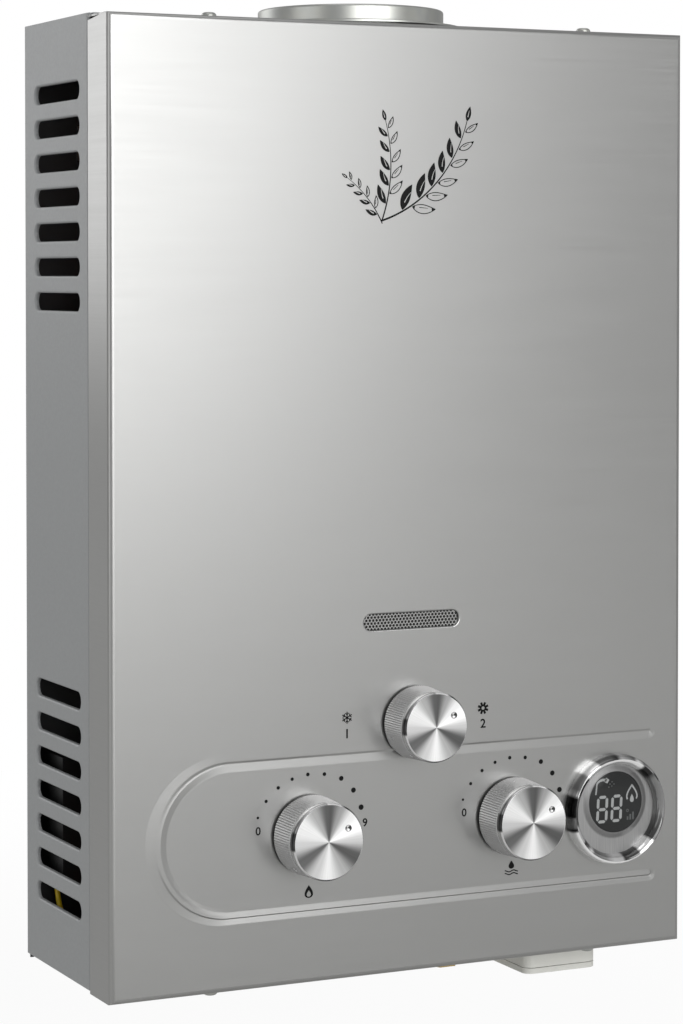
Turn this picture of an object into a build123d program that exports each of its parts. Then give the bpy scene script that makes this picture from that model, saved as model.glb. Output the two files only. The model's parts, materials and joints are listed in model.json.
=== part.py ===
from build123d import *
import os
from math import atan2, cos, degrees, pi, radians, sin, sqrt, tan

# A wall-hung instantaneous gas water heater with a pressed stainless cover, three knurled knobs
# and a round display.
#
# Frame: the origin is on the wall, on the centre line, level with the cover's lower edge.
# X runs to the right as the user sees it, Y into the wall and Z up. Everything hangs in front of
# the wall, so most depths are written as "out", the distance out from the wall, which is -Y.
# All sizes are millimetres.

os.makedirs("parts", exist_ok=True)

# Cover and casing
cover_width = 290.0
cover_height = 430.0
body_depth = 108.0
sheet = 0.8
cover_lip = 24.5
cover_foot = 12.0
cover_bend = 2.4
corner_relief = 2.2
casing_inset = 0.4
casing_bend = 1.6
casing_lift = 1.0
casing_rise = 1.3
back_drop = 1.5
seam_gap = 0.3
round_sides = 16
pipe_sides = 12
small_sides = 8
spare = 1.0
lap_gap = 0.2
lap_depth = 10.0
lap_cut_back = 9.0
plate_flange = 8.0
plate_gap = 0.3

# Side vents
vent_count = 7
vent_pitch = 15.65
vent_length = 57.5
vent_height = 8.0
vent_out = 42.7
vent_end_steps = 3
upper_vent_drop = 31.5
lower_vent_bottom = 33.6

# Wall fixings
keyhole_spacing = 140.0
keyhole_drop = 26.0
keyhole_head_radius = 5.5
keyhole_neck_radius = 2.75
keyhole_rise = 10.0
wall_screw_spacing = 200.0
wall_screw_z = 16.0
wall_screw_hole_radius = 3.25

# Pressed racetrack groove round the controls, open at the right
groove_top_z = 99.8
groove_bottom_z = 33.2
groove_left_x = -122.0
groove_right_x = 127.7
groove_half_width = 3.8
groove_depth = 1.6
groove_slope = 62.0
groove_end_steps = 4

# Flame window
window_x = 1.75
window_z = 160.2
window_length = 49.0
window_height = 8.6
window_lip = 1.4
grille_margin = 2.0
grille_thickness = 0.6
grille_pitch = 3.7
grille_hole_radius = 1.35
grille_rows = 3
mica_margin = 4.0
mica_thickness = 0.4

# Knobs: x, z, base radius and face radius of each
knob_places = {
    "gas": (-50.0, 67.0, 18.5, 17.25),
    "water": (53.5, 67.0, 18.5, 17.25),
    "season": (3.5, 114.0, 17.15, 15.85),
}
knob_height = 21.0
knob_gap = 0.8
knurl_depth = 0.7
knurl_count = 36
knurl_end_inset = 0.1
cap_thickness = 2.6
cap_bevel = 0.8
pointer_angle = 30.0
pointer_radius = 11.0
dimple_radius = 1.6
dimple_depth = 0.6
spindle_radius = 3.0
spindle_flat = 0.8
spindle_fit = 0.05
spindle_tip_gap = 0.4
spindle_seat = 1.0
panel_hole_radius = 5.0

# Display
display_x = 108.0
display_z = 66.0
bezel_radius = 26.0
bezel_height = 7.0
bezel_opening_radius = 23.0
bezel_crest_radius = 24.7
bezel_shoulder = 2.0
bezel_edge = 0.3
bezel_sides = 32
dial_fit = 0.2
dial_thickness = 1.6
lens_radius = 14.4
lens_rise = 3.4
lens_thickness = 0.8
board_width = 30.0
board_height = 28.0
board_depth = 6.0
board_hole_gap = 0.5

# Flue collar and draught hood
collar_radius = 43.5
collar_rise = 10.0
collar_flange = 8.0
collar_bead = 1.2
collar_notch_gap = 1.2
hood_gap = 0.3
hood_top_width = 124.0
hood_margin = 2.0

# Heat exchanger and burner
core_width = 196.0
core_back_room = 9.0
core_front_room = 21.0
hood_room = 38.0
core_bottom = 214.0
core_corner = 8.0
copper = 0.8
fin_count = 18
fin_thickness = 0.5
fin_drop = 62.0
fin_height = 42.0
tube_radius = 6.0
tube_drop = 42.0
tube_count = 3
tube_back_room = 27.0
tube_front_room = 11.0
tube_stub = 4.0
burner_box_bottom = 148.0
burner_box_wall = 1.0
sight_width = 62.0
sight_height = 15.0
bar_count = 10
bar_side_room = 14.3
bar_width = 9.0
bar_top = 150.0
bar_end_room = 9.0
bar_blade_height = 20.0
bar_shoulder = 12.0
venturi_height = 16.0
venturi_room = 8.0
rail_seat = 10.0
tray_bottom = 129.0
manifold_z = 114.0
manifold_setback = 12.0
manifold_size = 12.0
nozzle_radius = 3.0
nozzle_length = 5.0
nozzle_tip_gap = 1.0
season_block = 26.0
season_boss_radius = 9.0
season_boss_reach = 3.0
season_bore_depth = 14.0
arm_width = 10.0
arm_thickness = 1.5
bracket_height = 16.0
lower_bracket_z = 170.0
upper_bracket_drop = 22.0
bracket_reach = 20.0
bracket_thickness = 1.0
electrode_places = (40.0, 52.0)
electrode_z = 158.0
electrode_radius = 3.0
electrode_body_reach = 10.0
cutout_width = 14.0
cutout_thickness = 6.0
cutout_drop = 92.0

# Water and gas valve
valve_out = 48.0
valve_z = 66.0
gas_body_width = 56.0
gas_body_depth = 46.0
gas_body_height = 44.0
gas_body_right = -10.0
cast_round = 3.0
gland_radius = 10.0
gland_reach = 14.0
gland_bore_depth = 16.0
diaphragm_radius = 22.0
diaphragm_thickness = 2.0
diaphragm_x = 21.6
water_disc_thickness = 9.0
water_cover_thickness = 9.0
water_block_right = 75.0
water_block_depth = 46.0
water_block_height = 34.0
water_boss_length = 13.0
water_boss_radius = 12.0
water_arm_low = 64.0
water_arm_high = 80.0
water_arm_half_depth = 8.0
rod_boss_radius = 8.0
rod_boss_length = 7.6
rod_radius = 2.0
rod_fit = 0.05
rod_travel = 3.5
rod_gas_end = -24.0
rod_gap = 0.3
solenoid_width = 22.0
solenoid_length = 28.0
switch_width = 12.0
switch_depth = 14.0
switch_height = 12.0
switch_rise = 6.0
valve_screw_circle = 18.0
valve_screw_radius = 2.4
valve_screw_head = 1.8
valve_bracket_height = 20.0
valve_bracket_thickness = 1.5
valve_bracket_foot = 14.0
valve_bracket_left = -64.0
valve_bracket_right = 66.0

# Connections under the casing
gas_inlet_x = -50.0
cold_inlet_x = 53.5
thread_radius = 10.48
thread_end_z = -13.0
thread_top_z = -0.6
relief_radius = 9.6
connection_bore = 6.5
connection_hex = 13.5
connection_hex_thickness = 5.0
connection_neck_radius = 8.5
plate_hole_gap = 0.7
drain_x = 40.0
drain_out = 64.0
drain_stem_radius = 4.95
drain_fit = 0.05
drain_head_radius = 8.0
drain_head_bottom = -10.0
drain_head_top = -1.0
drain_boss_wall = 2.0
drain_boss_end = 14.0
drain_bore_top = 46.0
drain_stem_top = 36.0
connection_bore_depth = 22.0
filter_gap = 0.3
filter_bottom = -6.0
filter_top = 4.0

# Battery box for two large round cells that stand side by side
cell_diameter = 34.2
cell_length = 61.5
cell_room = 1.0
battery_side_room = 48.8
battery_front_room = 27.0
battery_wall = 1.8
battery_bottom_z = -12.6
battery_corner = 4.5
contact_room = 4.5
contact_thickness = 0.5
door_thickness = 2.6
door_gap = 0.3
hinge_radius = 2.4
hinge_out = 10.5
hinge_drop = 0.5
hinge_pin_radius = 1.2
hinge_pin_fit = 0.05
hinge_room = 0.35
lug_radius = 3.4
lug_corner = 2.0
door_gap_at_lug = 0.7
catch_width = 5.0
catch_offset = 11.5
catch_gap = 0.6
catch_height = 5.0
catch_thickness = 1.6
door_contact_width = 28.0
door_contact_margin = 5.0
contact_plate = 16.0
contact_nub_width = 6.0
contact_nub_height = 2.0

# Pipes, controls and small parts
pipe_radius = 6.0
pipe_bend = 14.0
pipe_steps = 4
bend_steps = 5
gas_pipe_radius = 5.0
gas_pipe_x = -22.0
gas_arm_width = 16.0
gas_arm_low = 58.0
gas_arm_high = 76.0
hot_pipe_end = 34.0
jog_rise = 10.0
jog_height = 46.0
jog_steps = 5
controller_side_room = 25.0
controller_width = 36.0
controller_depth = 30.0
controller_height = 58.0
controller_z = 38.0
lead_radius = 1.3
lead_share = 0.45
lead_sides = 6
plate_tongue = 18.0


# Worked-out places that several pieces share
cover_inside = cover_width / 2 - sheet
face_inside = body_depth - sheet
casing_half = cover_width / 2 - casing_inset
casing_inside = casing_half - sheet
casing_bottom = casing_lift
casing_top = cover_height + casing_rise
side_front = body_depth - cover_lip - seam_gap
lap_half = cover_inside - lap_gap
floor_z = sheet + plate_gap
keyhole_z = cover_height - keyhole_drop
upper_vent_top = cover_height - upper_vent_drop
vent_heights = [upper_vent_top - i * vent_pitch for i in range(vent_count)]
vent_heights += [lower_vent_bottom + i * vent_pitch for i in range(vent_count)]
collar_hole_radius = collar_radius + 0.3
collar_top = cover_height + collar_rise
core_back = core_back_room
core_front = body_depth - core_front_room
core_depth = core_front - core_back
core_out = (core_front + core_back) / 2
collar_out = core_out
core_top = cover_height - hood_room
fin_bottom = core_top - fin_drop
tube_z = core_top - tube_drop
tube_first_out = core_back + tube_back_room
tube_last_out = core_front - tube_front_room
tube_pitch = (tube_last_out - tube_first_out) / (tube_count - 1)
cutout_z = core_top - cutout_drop
manifold_out = body_depth - manifold_setback
bar_pitch = (core_width - 2 * bar_side_room) / (bar_count - 1)
battery_x = cover_width / 2 - battery_side_room
battery_front_out = body_depth - battery_front_room
controller_x = controller_side_room - cover_width / 2
battery_inner_width = cell_diameter + cell_room
battery_inner_depth = 2 * cell_diameter + 2 * cell_room
battery_width = battery_inner_width + 2 * battery_wall
battery_depth = battery_inner_depth + 2 * battery_wall
battery_out = battery_front_out - battery_depth / 2
battery_top_z = battery_bottom_z + cell_length + contact_room + battery_wall
battery_left = battery_x - battery_width / 2
battery_right = battery_x + battery_width / 2
battery_back_out = battery_front_out - battery_depth
hood_top = cover_height - sheet - hood_gap
collar_room = collar_radius - sheet - collar_bead
riser_x = core_width / 2 + tube_stub + pipe_bend
grille_out = body_depth - window_lip
bar_places = [(i - (bar_count - 1) / 2) * bar_pitch for i in range(bar_count)]
manifold_back = manifold_out - manifold_size / 2
manifold_front = manifold_out + manifold_size / 2
valve_back = valve_out - gas_body_depth / 2
valve_face = valve_out + gas_body_depth / 2
gland_end = valve_face + gland_reach
gas_body_left = gas_body_right - gas_body_width
gas_body_low = valve_z - gas_body_height / 2
gas_body_high = valve_z + gas_body_height / 2
water_cover_right = diaphragm_x - diaphragm_thickness / 2
water_cover_left = water_cover_right - water_cover_thickness
water_disc_left = diaphragm_x + diaphragm_thickness / 2
water_block_left = water_disc_left + water_disc_thickness
water_block_low = valve_z - water_block_height / 2
water_inlet_end = water_block_low - water_boss_length
hinge_z = battery_bottom_z - hinge_drop
lug_front = hinge_out + lug_radius
knob_front = body_depth + knob_height
season_face = manifold_front
season_end = season_face + season_boss_reach


def facing_room(x, z, out):
    """A sketch plane that faces the room, with its origin at x, z and a distance out from the wall."""
    return Plane(origin=(x, -out, z), x_dir=(1, 0, 0), z_dir=(0, -1, 0))


def block(x_range, out_range, z_range, mode=Mode.ADD):
    """A rectangular block between two x values, two distances out and two heights."""
    middle = (sum(x_range) / 2, -sum(out_range) / 2, sum(z_range) / 2)
    size = [abs(pair[1] - pair[0]) for pair in (x_range, out_range, z_range)]
    with Locations(middle):
        Box(*size, mode=mode)


def upright(x, out, bottom, top, radius, mode=Mode.ADD):
    """A vertical cylinder."""
    with Locations((x, -out, (bottom + top) / 2)):
        Cylinder(radius, abs(top - bottom), mode=mode)


def many_sided(radius, sides=round_sides, mode=Mode.ADD):
    """A polygon round a circle, for small rounds and holes that are hidden or hardly show."""
    return RegularPolygon(radius, sides, major_radius=False, mode=mode)


def slot_outline(length, height, steps=vent_end_steps):
    """A slot with round ends, each end drawn in a few straight steps: x = half + r sin a, y = r cos a."""
    radius = height / 2
    half = length / 2 - radius
    turns = [pi * i / steps for i in range(steps + 1)]
    right = [(half + radius * sin(a), radius * cos(a)) for a in turns]
    left = [(-x, -y) for x, y in right]
    with BuildSketch(mode=Mode.PRIVATE) as slot:
        with BuildLine():
            Polyline(*right, *left, close=True)
        make_face()
    return slot.sketch


def cut_corner_outline(width, height, corner):
    """A rectangle with its corners cut off at 45 degrees."""
    with BuildSketch(mode=Mode.PRIVATE) as outline:
        Rectangle(width, height)
        chamfer(outline.vertices(), corner)
    return outline.sketch


def turn_points(centre, radius, first, last, steps):
    """Points along a turn in equal steps: u = centre u + r cos a, v = centre v + r sin a, in degrees."""
    turns = [radians(first + (last - first) * i / steps) for i in range(steps + 1)]
    return [(centre[0] + radius * cos(a), centre[1] + radius * sin(a)) for a in turns]


def jog_points(first_out, last_out, low):
    """Points of a gentle S on the way up between two distances out: out = first + step (3 t^2 - 2 t^3)."""
    shares = [i / jog_steps for i in range(jog_steps + 1)]
    step = last_out - first_out
    return [(first_out + step * (3 * t**2 - 2 * t**3), low + jog_height * t) for t in shares]


def racetrack_band(half_width):
    """The groove's outline: two straight runs joined by a half circle, with round ends."""
    turn = (groove_top_z - groove_bottom_z) / 2
    middle_z = groove_bottom_z + turn
    left = groove_left_x + turn
    wide, narrow = turn + half_width, turn - half_width
    upper_end = turn_points((groove_right_x, groove_top_z), half_width, 90, -90, groove_end_steps)
    lower_end = turn_points((groove_right_x, groove_bottom_z), half_width, 90, -90, groove_end_steps)
    with BuildSketch(mode=Mode.PRIVATE) as band:
        with BuildLine():
            Polyline((left, middle_z + wide), *upper_end, (left, middle_z + narrow))
            ThreePointArc((left, middle_z + narrow), (left - narrow, middle_z), (left, middle_z - narrow))
            Polyline((left, middle_z - narrow), *lower_end, (left, middle_z - wide))
            ThreePointArc((left, middle_z - wide), (left - wide, middle_z), (left, middle_z + wide))
        make_face()
    return band.sketch


# Front cover: a shallow stainless pan with four flanges, drawn with its grooves and openings
rib_half_width = groove_half_width + sheet * (1 / cos(radians(groove_slope)) - 1) * cos(radians(groove_slope))
with BuildPart() as front_cover:
    with BuildSketch(facing_room(0, cover_height / 2, body_depth - cover_lip)):
        Rectangle(cover_width, cover_height)
    extrude(amount=cover_lip)
    front_face = front_cover.faces().sort_by(Axis.Y)[0]
    fillet(front_face.edges(), cover_bend)
    offset(amount=-sheet, openings=front_cover.faces().sort_by(Axis.Y)[-1])
    block(
        (-cover_inside, cover_inside), (body_depth - cover_lip, body_depth - cover_foot),
        (-spare, sheet), mode=Mode.SUBTRACT,
    )
    relief_out = body_depth - cover_bend
    with BuildSketch(Plane.YZ.offset(-cover_width / 2)) as relief:
        with BuildLine():
            Polyline(
                (-relief_out, cover_height + spare), (-relief_out, cover_height - cover_bend / 2),
                (cover_lip - body_depth, cover_height - corner_relief),
                (cover_lip - body_depth, cover_height + spare), close=True,
            )
        make_face()
    extrude(amount=1.5 * sheet, mode=Mode.SUBTRACT)
    extrude(relief.sketch.moved(Location((cover_width - 1.5 * sheet, 0, 0))), amount=1.5 * sheet,
            dir=(1, 0, 0), mode=Mode.SUBTRACT)
    with BuildSketch(facing_room(0, 0, face_inside)):
        add(racetrack_band(rib_half_width))
    extrude(amount=-groove_depth, taper=groove_slope)
    with BuildSketch(facing_room(0, 0, body_depth)):
        add(racetrack_band(groove_half_width))
    extrude(amount=-groove_depth, taper=groove_slope, mode=Mode.SUBTRACT)
    with BuildSketch(facing_room(window_x, window_z, body_depth - window_lip)):
        add(slot_outline(window_length + 2 * sheet, window_height + 2 * sheet, 2 * vent_end_steps))
    extrude(amount=window_lip - sheet / 2)
    with BuildSketch(facing_room(window_x, window_z, body_depth)):
        add(slot_outline(window_length, window_height, 2 * vent_end_steps))
    extrude(amount=-2 * window_lip, mode=Mode.SUBTRACT)
    for x, z, *radii in knob_places.values():
        with BuildSketch(facing_room(x, z, body_depth)):
            many_sided(panel_hole_radius, small_sides)
        extrude(amount=-3 * sheet, mode=Mode.SUBTRACT)
    with BuildSketch(facing_room(display_x, display_z, body_depth)):
        Rectangle(board_width + 2 * board_hole_gap, board_height + 2 * board_hole_gap)
    extrude(amount=-3 * sheet, mode=Mode.SUBTRACT)
    upright(0, collar_out, cover_height - 2 * sheet, cover_height + spare,
            collar_radius + collar_notch_gap, mode=Mode.SUBTRACT)
front_cover.part.label = "front_cover"
export_step(front_cover.part, "parts/front_cover.step")

# Rear casing: back and sides folded from one painted sheet, stepped in where the cover laps over
with BuildPart() as rear_casing:
    with BuildSketch(Plane.XY.offset(-back_drop)):
        Rectangle(2 * casing_half, side_front, align=(Align.CENTER, Align.MAX))
    extrude(amount=casing_top + back_drop)
    fillet(rear_casing.edges().filter_by(Axis.Z).group_by(Axis.Y)[-1], casing_bend)
    with BuildSketch(Plane.XY.offset(-back_drop)):
        with Locations((0, -sheet)):
            Rectangle(2 * casing_inside, side_front, align=(Align.CENTER, Align.MAX))
    extrude(amount=casing_top + back_drop, mode=Mode.SUBTRACT)
    block((-cover_width / 2, cover_width / 2), (casing_bend, side_front + spare),
          (-back_drop - spare, casing_bottom), mode=Mode.SUBTRACT)
    lap_front = side_front + lap_depth
    for side in (-1, 1):
        lap_range = (side * (lap_half - sheet), side * lap_half)
        block(lap_range, (side_front - 2, lap_front),
              (casing_bottom + lap_cut_back, cover_height - lap_cut_back))
    with BuildSketch(Plane.YZ.offset(-casing_half - spare)):
        with Locations(*[(-vent_out, z) for z in vent_heights]):
            add(slot_outline(vent_length, vent_height))
    extrude(amount=2 * (casing_half + spare), mode=Mode.SUBTRACT)
    with BuildSketch(Plane.XZ):
        for x in (-keyhole_spacing / 2, keyhole_spacing / 2):
            with Locations((x, keyhole_z)):
                many_sided(keyhole_head_radius, small_sides)
                Rectangle(2 * keyhole_neck_radius, keyhole_rise, align=(Align.CENTER, Align.MIN))
            with Locations((x, keyhole_z + keyhole_rise)):
                many_sided(keyhole_neck_radius, small_sides)
        with Locations((-wall_screw_spacing / 2, wall_screw_z), (wall_screw_spacing / 2, wall_screw_z)):
            Circle(wall_screw_hole_radius)
    extrude(amount=2 * sheet, mode=Mode.SUBTRACT)
rear_casing.part.label = "rear_casing"
export_step(rear_casing.part, "parts/rear_casing.step")

# Top plate: a downturned tray between the sides, with the hole for the flue collar
with BuildPart() as top_plate:
    block((-casing_inside, casing_inside), (sheet, side_front), (casing_top - plate_flange, casing_top))
    tray_faces = top_plate.faces()
    offset(amount=-sheet, openings=[tray_faces.sort_by(Axis.Z)[0], tray_faces.sort_by(Axis.Y)[0]])
    block((-casing_inside + sheet, casing_inside - sheet), (side_front, side_front + 2.5),
          (casing_top - sheet, casing_top))
    with BuildSketch(Plane.XY.offset(casing_top)):
        with Locations((0, -collar_out)):
            many_sided(collar_hole_radius, 2 * round_sides)
    extrude(amount=-2 * sheet, mode=Mode.SUBTRACT)
top_plate.part.label = "top_plate"
export_step(top_plate.part, "parts/top_plate.step")

# Bottom plate: an upturned tray with the holes for the pipes, the drain plug and the battery box
with BuildPart() as bottom_plate:
    block((-casing_inside, casing_inside), (sheet, side_front), (floor_z, floor_z + plate_flange))
    tray_faces = bottom_plate.faces()
    offset(amount=-sheet, openings=[tray_faces.sort_by(Axis.Z)[-1], tray_faces.sort_by(Axis.Y)[0]])
    block((-casing_inside + sheet, casing_inside - sheet), (side_front, side_front + plate_tongue),
          (floor_z, floor_z + sheet))
    with BuildSketch(Plane.XY):
        for x, out in ((gas_inlet_x, valve_out), (cold_inlet_x, valve_out), (-riser_x, valve_out)):
            with Locations((x, -out)):
                many_sided(thread_radius + plate_hole_gap, pipe_sides)
        with Locations((drain_x, -drain_out)):
            many_sided(drain_stem_radius + plate_hole_gap, pipe_sides)
        with Locations((battery_x, -battery_out)):
            add(cut_corner_outline(battery_width + 2 * plate_gap, battery_depth + 2 * plate_gap, plate_gap))
    extrude(amount=floor_z + 2 * sheet, mode=Mode.SUBTRACT)
bottom_plate.part.label = "bottom_plate"
export_step(bottom_plate.part, "parts/bottom_plate.step")

# Flame window: a perforated plate behind the cover's drawn opening, and its sheet of mica
row_rise = grille_pitch * sqrt(3) / 2
hole_places = []
for row in range(grille_rows):
    z = (row - (grille_rows - 1) / 2) * row_rise
    end_radius = window_height / 2 - grille_hole_radius
    reach = (window_length - window_height) / 2 + sqrt(max(end_radius**2 - z**2, 0))
    start = (row % 2) * grille_pitch / 2
    steps = int((reach + start) / grille_pitch)
    hole_places += [(start + i * grille_pitch, z) for i in range(-steps, steps + 1 - row % 2)]
with BuildPart() as window_grille:
    with BuildSketch(facing_room(window_x, window_z, grille_out)):
        Rectangle(window_length + 2 * grille_margin, window_height + 2 * grille_margin)
        with Locations(*hole_places):
            RegularPolygon(grille_hole_radius, 6, rotation=30, mode=Mode.SUBTRACT)
    extrude(amount=-grille_thickness)
window_grille.part.label = "window_grille"
export_step(window_grille.part, "parts/window_grille.step")

with BuildPart() as window_mica:
    with BuildSketch(facing_room(window_x, window_z, grille_out - grille_thickness)):
        Rectangle(window_length + 2 * mica_margin, window_height + 2 * mica_margin)
    extrude(amount=-mica_thickness)
window_mica.part.label = "window_mica"
export_step(window_mica.part, "parts/window_mica.step")

# Flue collar: a neck with a flange on the top plate and a rolled-in upper edge
with BuildPart() as flue_collar:
    with BuildSketch(Plane.XY.offset(hood_top)):
        with Locations((0, -collar_out)):
            RegularPolygon(collar_radius, 2 * round_sides)
    extrude(amount=casing_top - hood_top)
    with BuildSketch(Plane.XY.offset(casing_top)):
        with Locations((0, -collar_out)):
            many_sided(collar_radius + collar_flange, 2 * round_sides)
    extrude(amount=sheet)
    upright(0, collar_out, casing_top + sheet, collar_top - collar_bead, collar_radius)
    for z, radius in ((collar_top - collar_bead, collar_radius), (collar_top, collar_radius - collar_bead)):
        with BuildSketch(Plane.XY.offset(z)):
            with Locations((0, -collar_out)):
                RegularPolygon(radius, 2 * round_sides)
    loft(ruled=True)
    with BuildSketch(Plane.XY.offset(hood_top)):
        with Locations((0, -collar_out)):
            RegularPolygon(collar_room, 2 * round_sides)
    extrude(amount=collar_top - hood_top, mode=Mode.SUBTRACT)
flue_collar.part.label = "flue_collar"
export_step(flue_collar.part, "parts/flue_collar.step")

# Draught hood: narrows from the exchanger's top to the collar
hood_depth = 2 * (collar_radius + hood_margin)
with BuildPart() as draft_hood:
    with BuildSketch(facing_room(0, 0, core_out)):
        with BuildLine():
            Polyline(
                (-core_width / 2, core_top), (core_width / 2, core_top), (hood_top_width / 2, hood_top),
                (-hood_top_width / 2, hood_top), close=True,
            )
        make_face()
    extrude(amount=hood_depth / 2, both=True)
    offset(amount=-sheet, openings=draft_hood.faces().sort_by(Axis.Z)[0])
    with BuildSketch(Plane.XY.offset(hood_top)):
        with Locations((0, -collar_out)):
            RegularPolygon(collar_room, 2 * round_sides)
    extrude(amount=-2 * sheet, mode=Mode.SUBTRACT)
draft_hood.part.label = "draft_hood"
export_step(draft_hood.part, "parts/draft_hood.step")

# Heat exchanger: copper shell, fin pack, return bends of the finned pipe
with BuildPart() as exchanger_shell:
    with BuildSketch(Plane.XY.offset(core_bottom)):
        with Locations((0, -core_out)):
            inner_corner = core_corner - copper * (2 - sqrt(2))
            add(cut_corner_outline(core_width, core_depth, core_corner))
            add(cut_corner_outline(core_width - 2 * copper, core_depth - 2 * copper, inner_corner),
                mode=Mode.SUBTRACT)
    extrude(amount=core_top - core_bottom)
exchanger_shell.part.label = "exchanger_shell"
export_step(exchanger_shell.part, "parts/exchanger_shell.step")

with BuildPart() as exchanger_fins:
    fin_span = core_width - 2 * copper - 2 * core_corner
    fin_pitch = fin_span / (fin_count - 1)
    for i in range(fin_count):
        x = -fin_span / 2 + i * fin_pitch
        block((x - fin_thickness / 2, x + fin_thickness / 2), (core_back + copper, core_front - copper),
              (fin_bottom, fin_bottom + fin_height))
exchanger_fins.part.label = "exchanger_fins"
export_step(exchanger_fins.part, "parts/exchanger_fins.step")

with BuildPart() as exchanger_bends:
    for side, near in ((-1, tube_first_out), (1, tube_last_out - tube_pitch)):
        start_x = side * core_width / 2
        turn_x = side * (core_width / 2 + tube_stub)
        turn_end = 90 if side > 0 else -270
        turn = turn_points((turn_x, near + tube_pitch / 2), tube_pitch / 2, -90, turn_end, bend_steps)
        with BuildLine():
            row = [(start_x, near), *turn, (start_x, near + tube_pitch)]
            Polyline(*[(x, -out, tube_z) for x, out in row])
        with BuildSketch(Plane(origin=(start_x, -near, tube_z), z_dir=(side, 0, 0))):
            many_sided(tube_radius, small_sides)
        sweep(transition=Transition.RIGHT)
exchanger_bends.part.label = "exchanger_bends"
export_step(exchanger_bends.part, "parts/exchanger_bends.step")

# Combustion chamber: folded steel under the exchanger, with its sight opening
with BuildPart() as burner_box:
    with BuildSketch(Plane.XY.offset(burner_box_bottom)):
        with Locations((0, -core_out)):
            Rectangle(core_width, core_depth)
            Rectangle(core_width - 2 * burner_box_wall, core_depth - 2 * burner_box_wall, mode=Mode.SUBTRACT)
    extrude(amount=core_bottom - burner_box_bottom)
    with BuildSketch(facing_room(window_x, window_z, core_front)):
        Rectangle(sight_width, sight_height)
    extrude(amount=-3 * burner_box_wall, mode=Mode.SUBTRACT)
burner_box.part.label = "burner_box"
export_step(burner_box.part, "parts/burner_box.step")

# Burner: tray with two rails, and a row of bars whose venturis open at the front
bar_back = core_back + bar_end_room
bar_front = core_front - bar_end_room
tray_rail = bar_end_room + rail_seat
bar_shoulder_z = bar_top - bar_blade_height
venturi_front = manifold_back - nozzle_length - nozzle_tip_gap
with BuildPart() as burner_tray:
    with BuildSketch(Plane.XY.offset(tray_bottom)):
        with Locations((0, -core_out)):
            Rectangle(core_width, core_depth)
            Rectangle(core_width - 2 * burner_box_wall, core_depth - 2 * burner_box_wall, mode=Mode.SUBTRACT)
    extrude(amount=burner_box_bottom - tray_bottom)
    with BuildSketch(Plane.XY.offset(tray_bottom)):
        with Locations((0, -core_out)):
            Rectangle(core_width, core_depth)
            Rectangle(core_width, core_depth - 2 * tray_rail, mode=Mode.SUBTRACT)
    extrude(amount=bar_shoulder_z - tray_bottom)
burner_tray.part.label = "burner_tray"
export_step(burner_tray.part, "parts/burner_tray.step")

with BuildPart() as burner_bars:
    for x in bar_places:
        with BuildSketch(Plane.YZ.offset(x - bar_width / 2)):
            with BuildLine():
                venturi_low = manifold_z - venturi_height / 2
                venturi_high = manifold_z + venturi_height / 2
                Polyline(
                    (-bar_back, bar_top), (-bar_front, bar_top), (-bar_front, bar_shoulder_z),
                    (bar_shoulder - bar_front, bar_shoulder_z),
                    (bar_shoulder - bar_front + venturi_room, venturi_high), (-venturi_front, venturi_high),
                    (-venturi_front, venturi_low), (-core_out, venturi_low),
                    (-bar_back - bar_shoulder, bar_shoulder_z), (-bar_back, bar_shoulder_z), close=True,
                )
            make_face()
        extrude(amount=bar_width)
burner_bars.part.label = "burner_bars"
export_step(burner_bars.part, "parts/burner_bars.step")

# Gas manifold in two arms, the nozzles on its back and the arms that carry it from the tray
season_x, season_z = knob_places["season"][:2]
with BuildPart() as gas_manifold:
    heights = (manifold_z - manifold_size / 2, manifold_z + manifold_size / 2)
    left_arm = (-core_width / 2, season_x - season_block / 2)
    right_arm = (season_x + season_block / 2, core_width / 2)
    block(left_arm, (manifold_back, manifold_front), heights)
    block(right_arm, (manifold_back, manifold_front), heights)
gas_manifold.part.label = "gas_manifold"
export_step(gas_manifold.part, "parts/gas_manifold.step")

with BuildPart() as nozzles:
    with BuildSketch(facing_room(0, manifold_z, manifold_back)):
        with Locations(*[(x, 0) for x in bar_places]):
            RegularPolygon(nozzle_radius, 6)
    extrude(amount=-nozzle_length)
nozzles.part.label = "nozzles"
export_step(nozzles.part, "parts/nozzles.step")

with BuildPart() as manifold_arms:
    for side in (-1, 1):
        arm_x = (side * (core_width / 2 - arm_width), side * core_width / 2)
        block(arm_x, (manifold_back - arm_thickness, manifold_back), (manifold_z - manifold_size / 2,
              burner_box_bottom - arm_width / 2))
        block(arm_x, (core_front, manifold_back - arm_thickness),
              (burner_box_bottom - 1.5 * arm_width, burner_box_bottom - arm_width / 2))
manifold_arms.part.label = "manifold_arms"
export_step(manifold_arms.part, "parts/manifold_arms.step")

# Hat-section brackets carry the chamber and the exchanger on the back of the casing
with BuildPart() as chamber_brackets:
    crown = core_width / 2 + bracket_thickness
    for low in (lower_bracket_z, core_top - upper_bracket_drop):
        heights = (low, low + bracket_height)
        block((-crown, crown), (core_back - bracket_thickness, core_back), heights)
        for side in (-1, 1):
            block((side * (crown - bracket_thickness), side * crown), (sheet, core_back), heights)
            block((side * (crown - bracket_thickness), side * (crown + bracket_reach)),
                  (sheet, sheet + bracket_thickness), heights)
chamber_brackets.part.label = "chamber_brackets"
export_step(chamber_brackets.part, "parts/chamber_brackets.step")

with BuildPart() as spark_electrodes:
    with BuildSketch(facing_room(0, electrode_z, core_front)):
        with Locations(*[(x, 0) for x in electrode_places]):
            RegularPolygon(electrode_radius, 6)
    extrude(amount=electrode_body_reach)
spark_electrodes.part.label = "spark_electrodes"
export_step(spark_electrodes.part, "parts/spark_electrodes.step")

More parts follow.
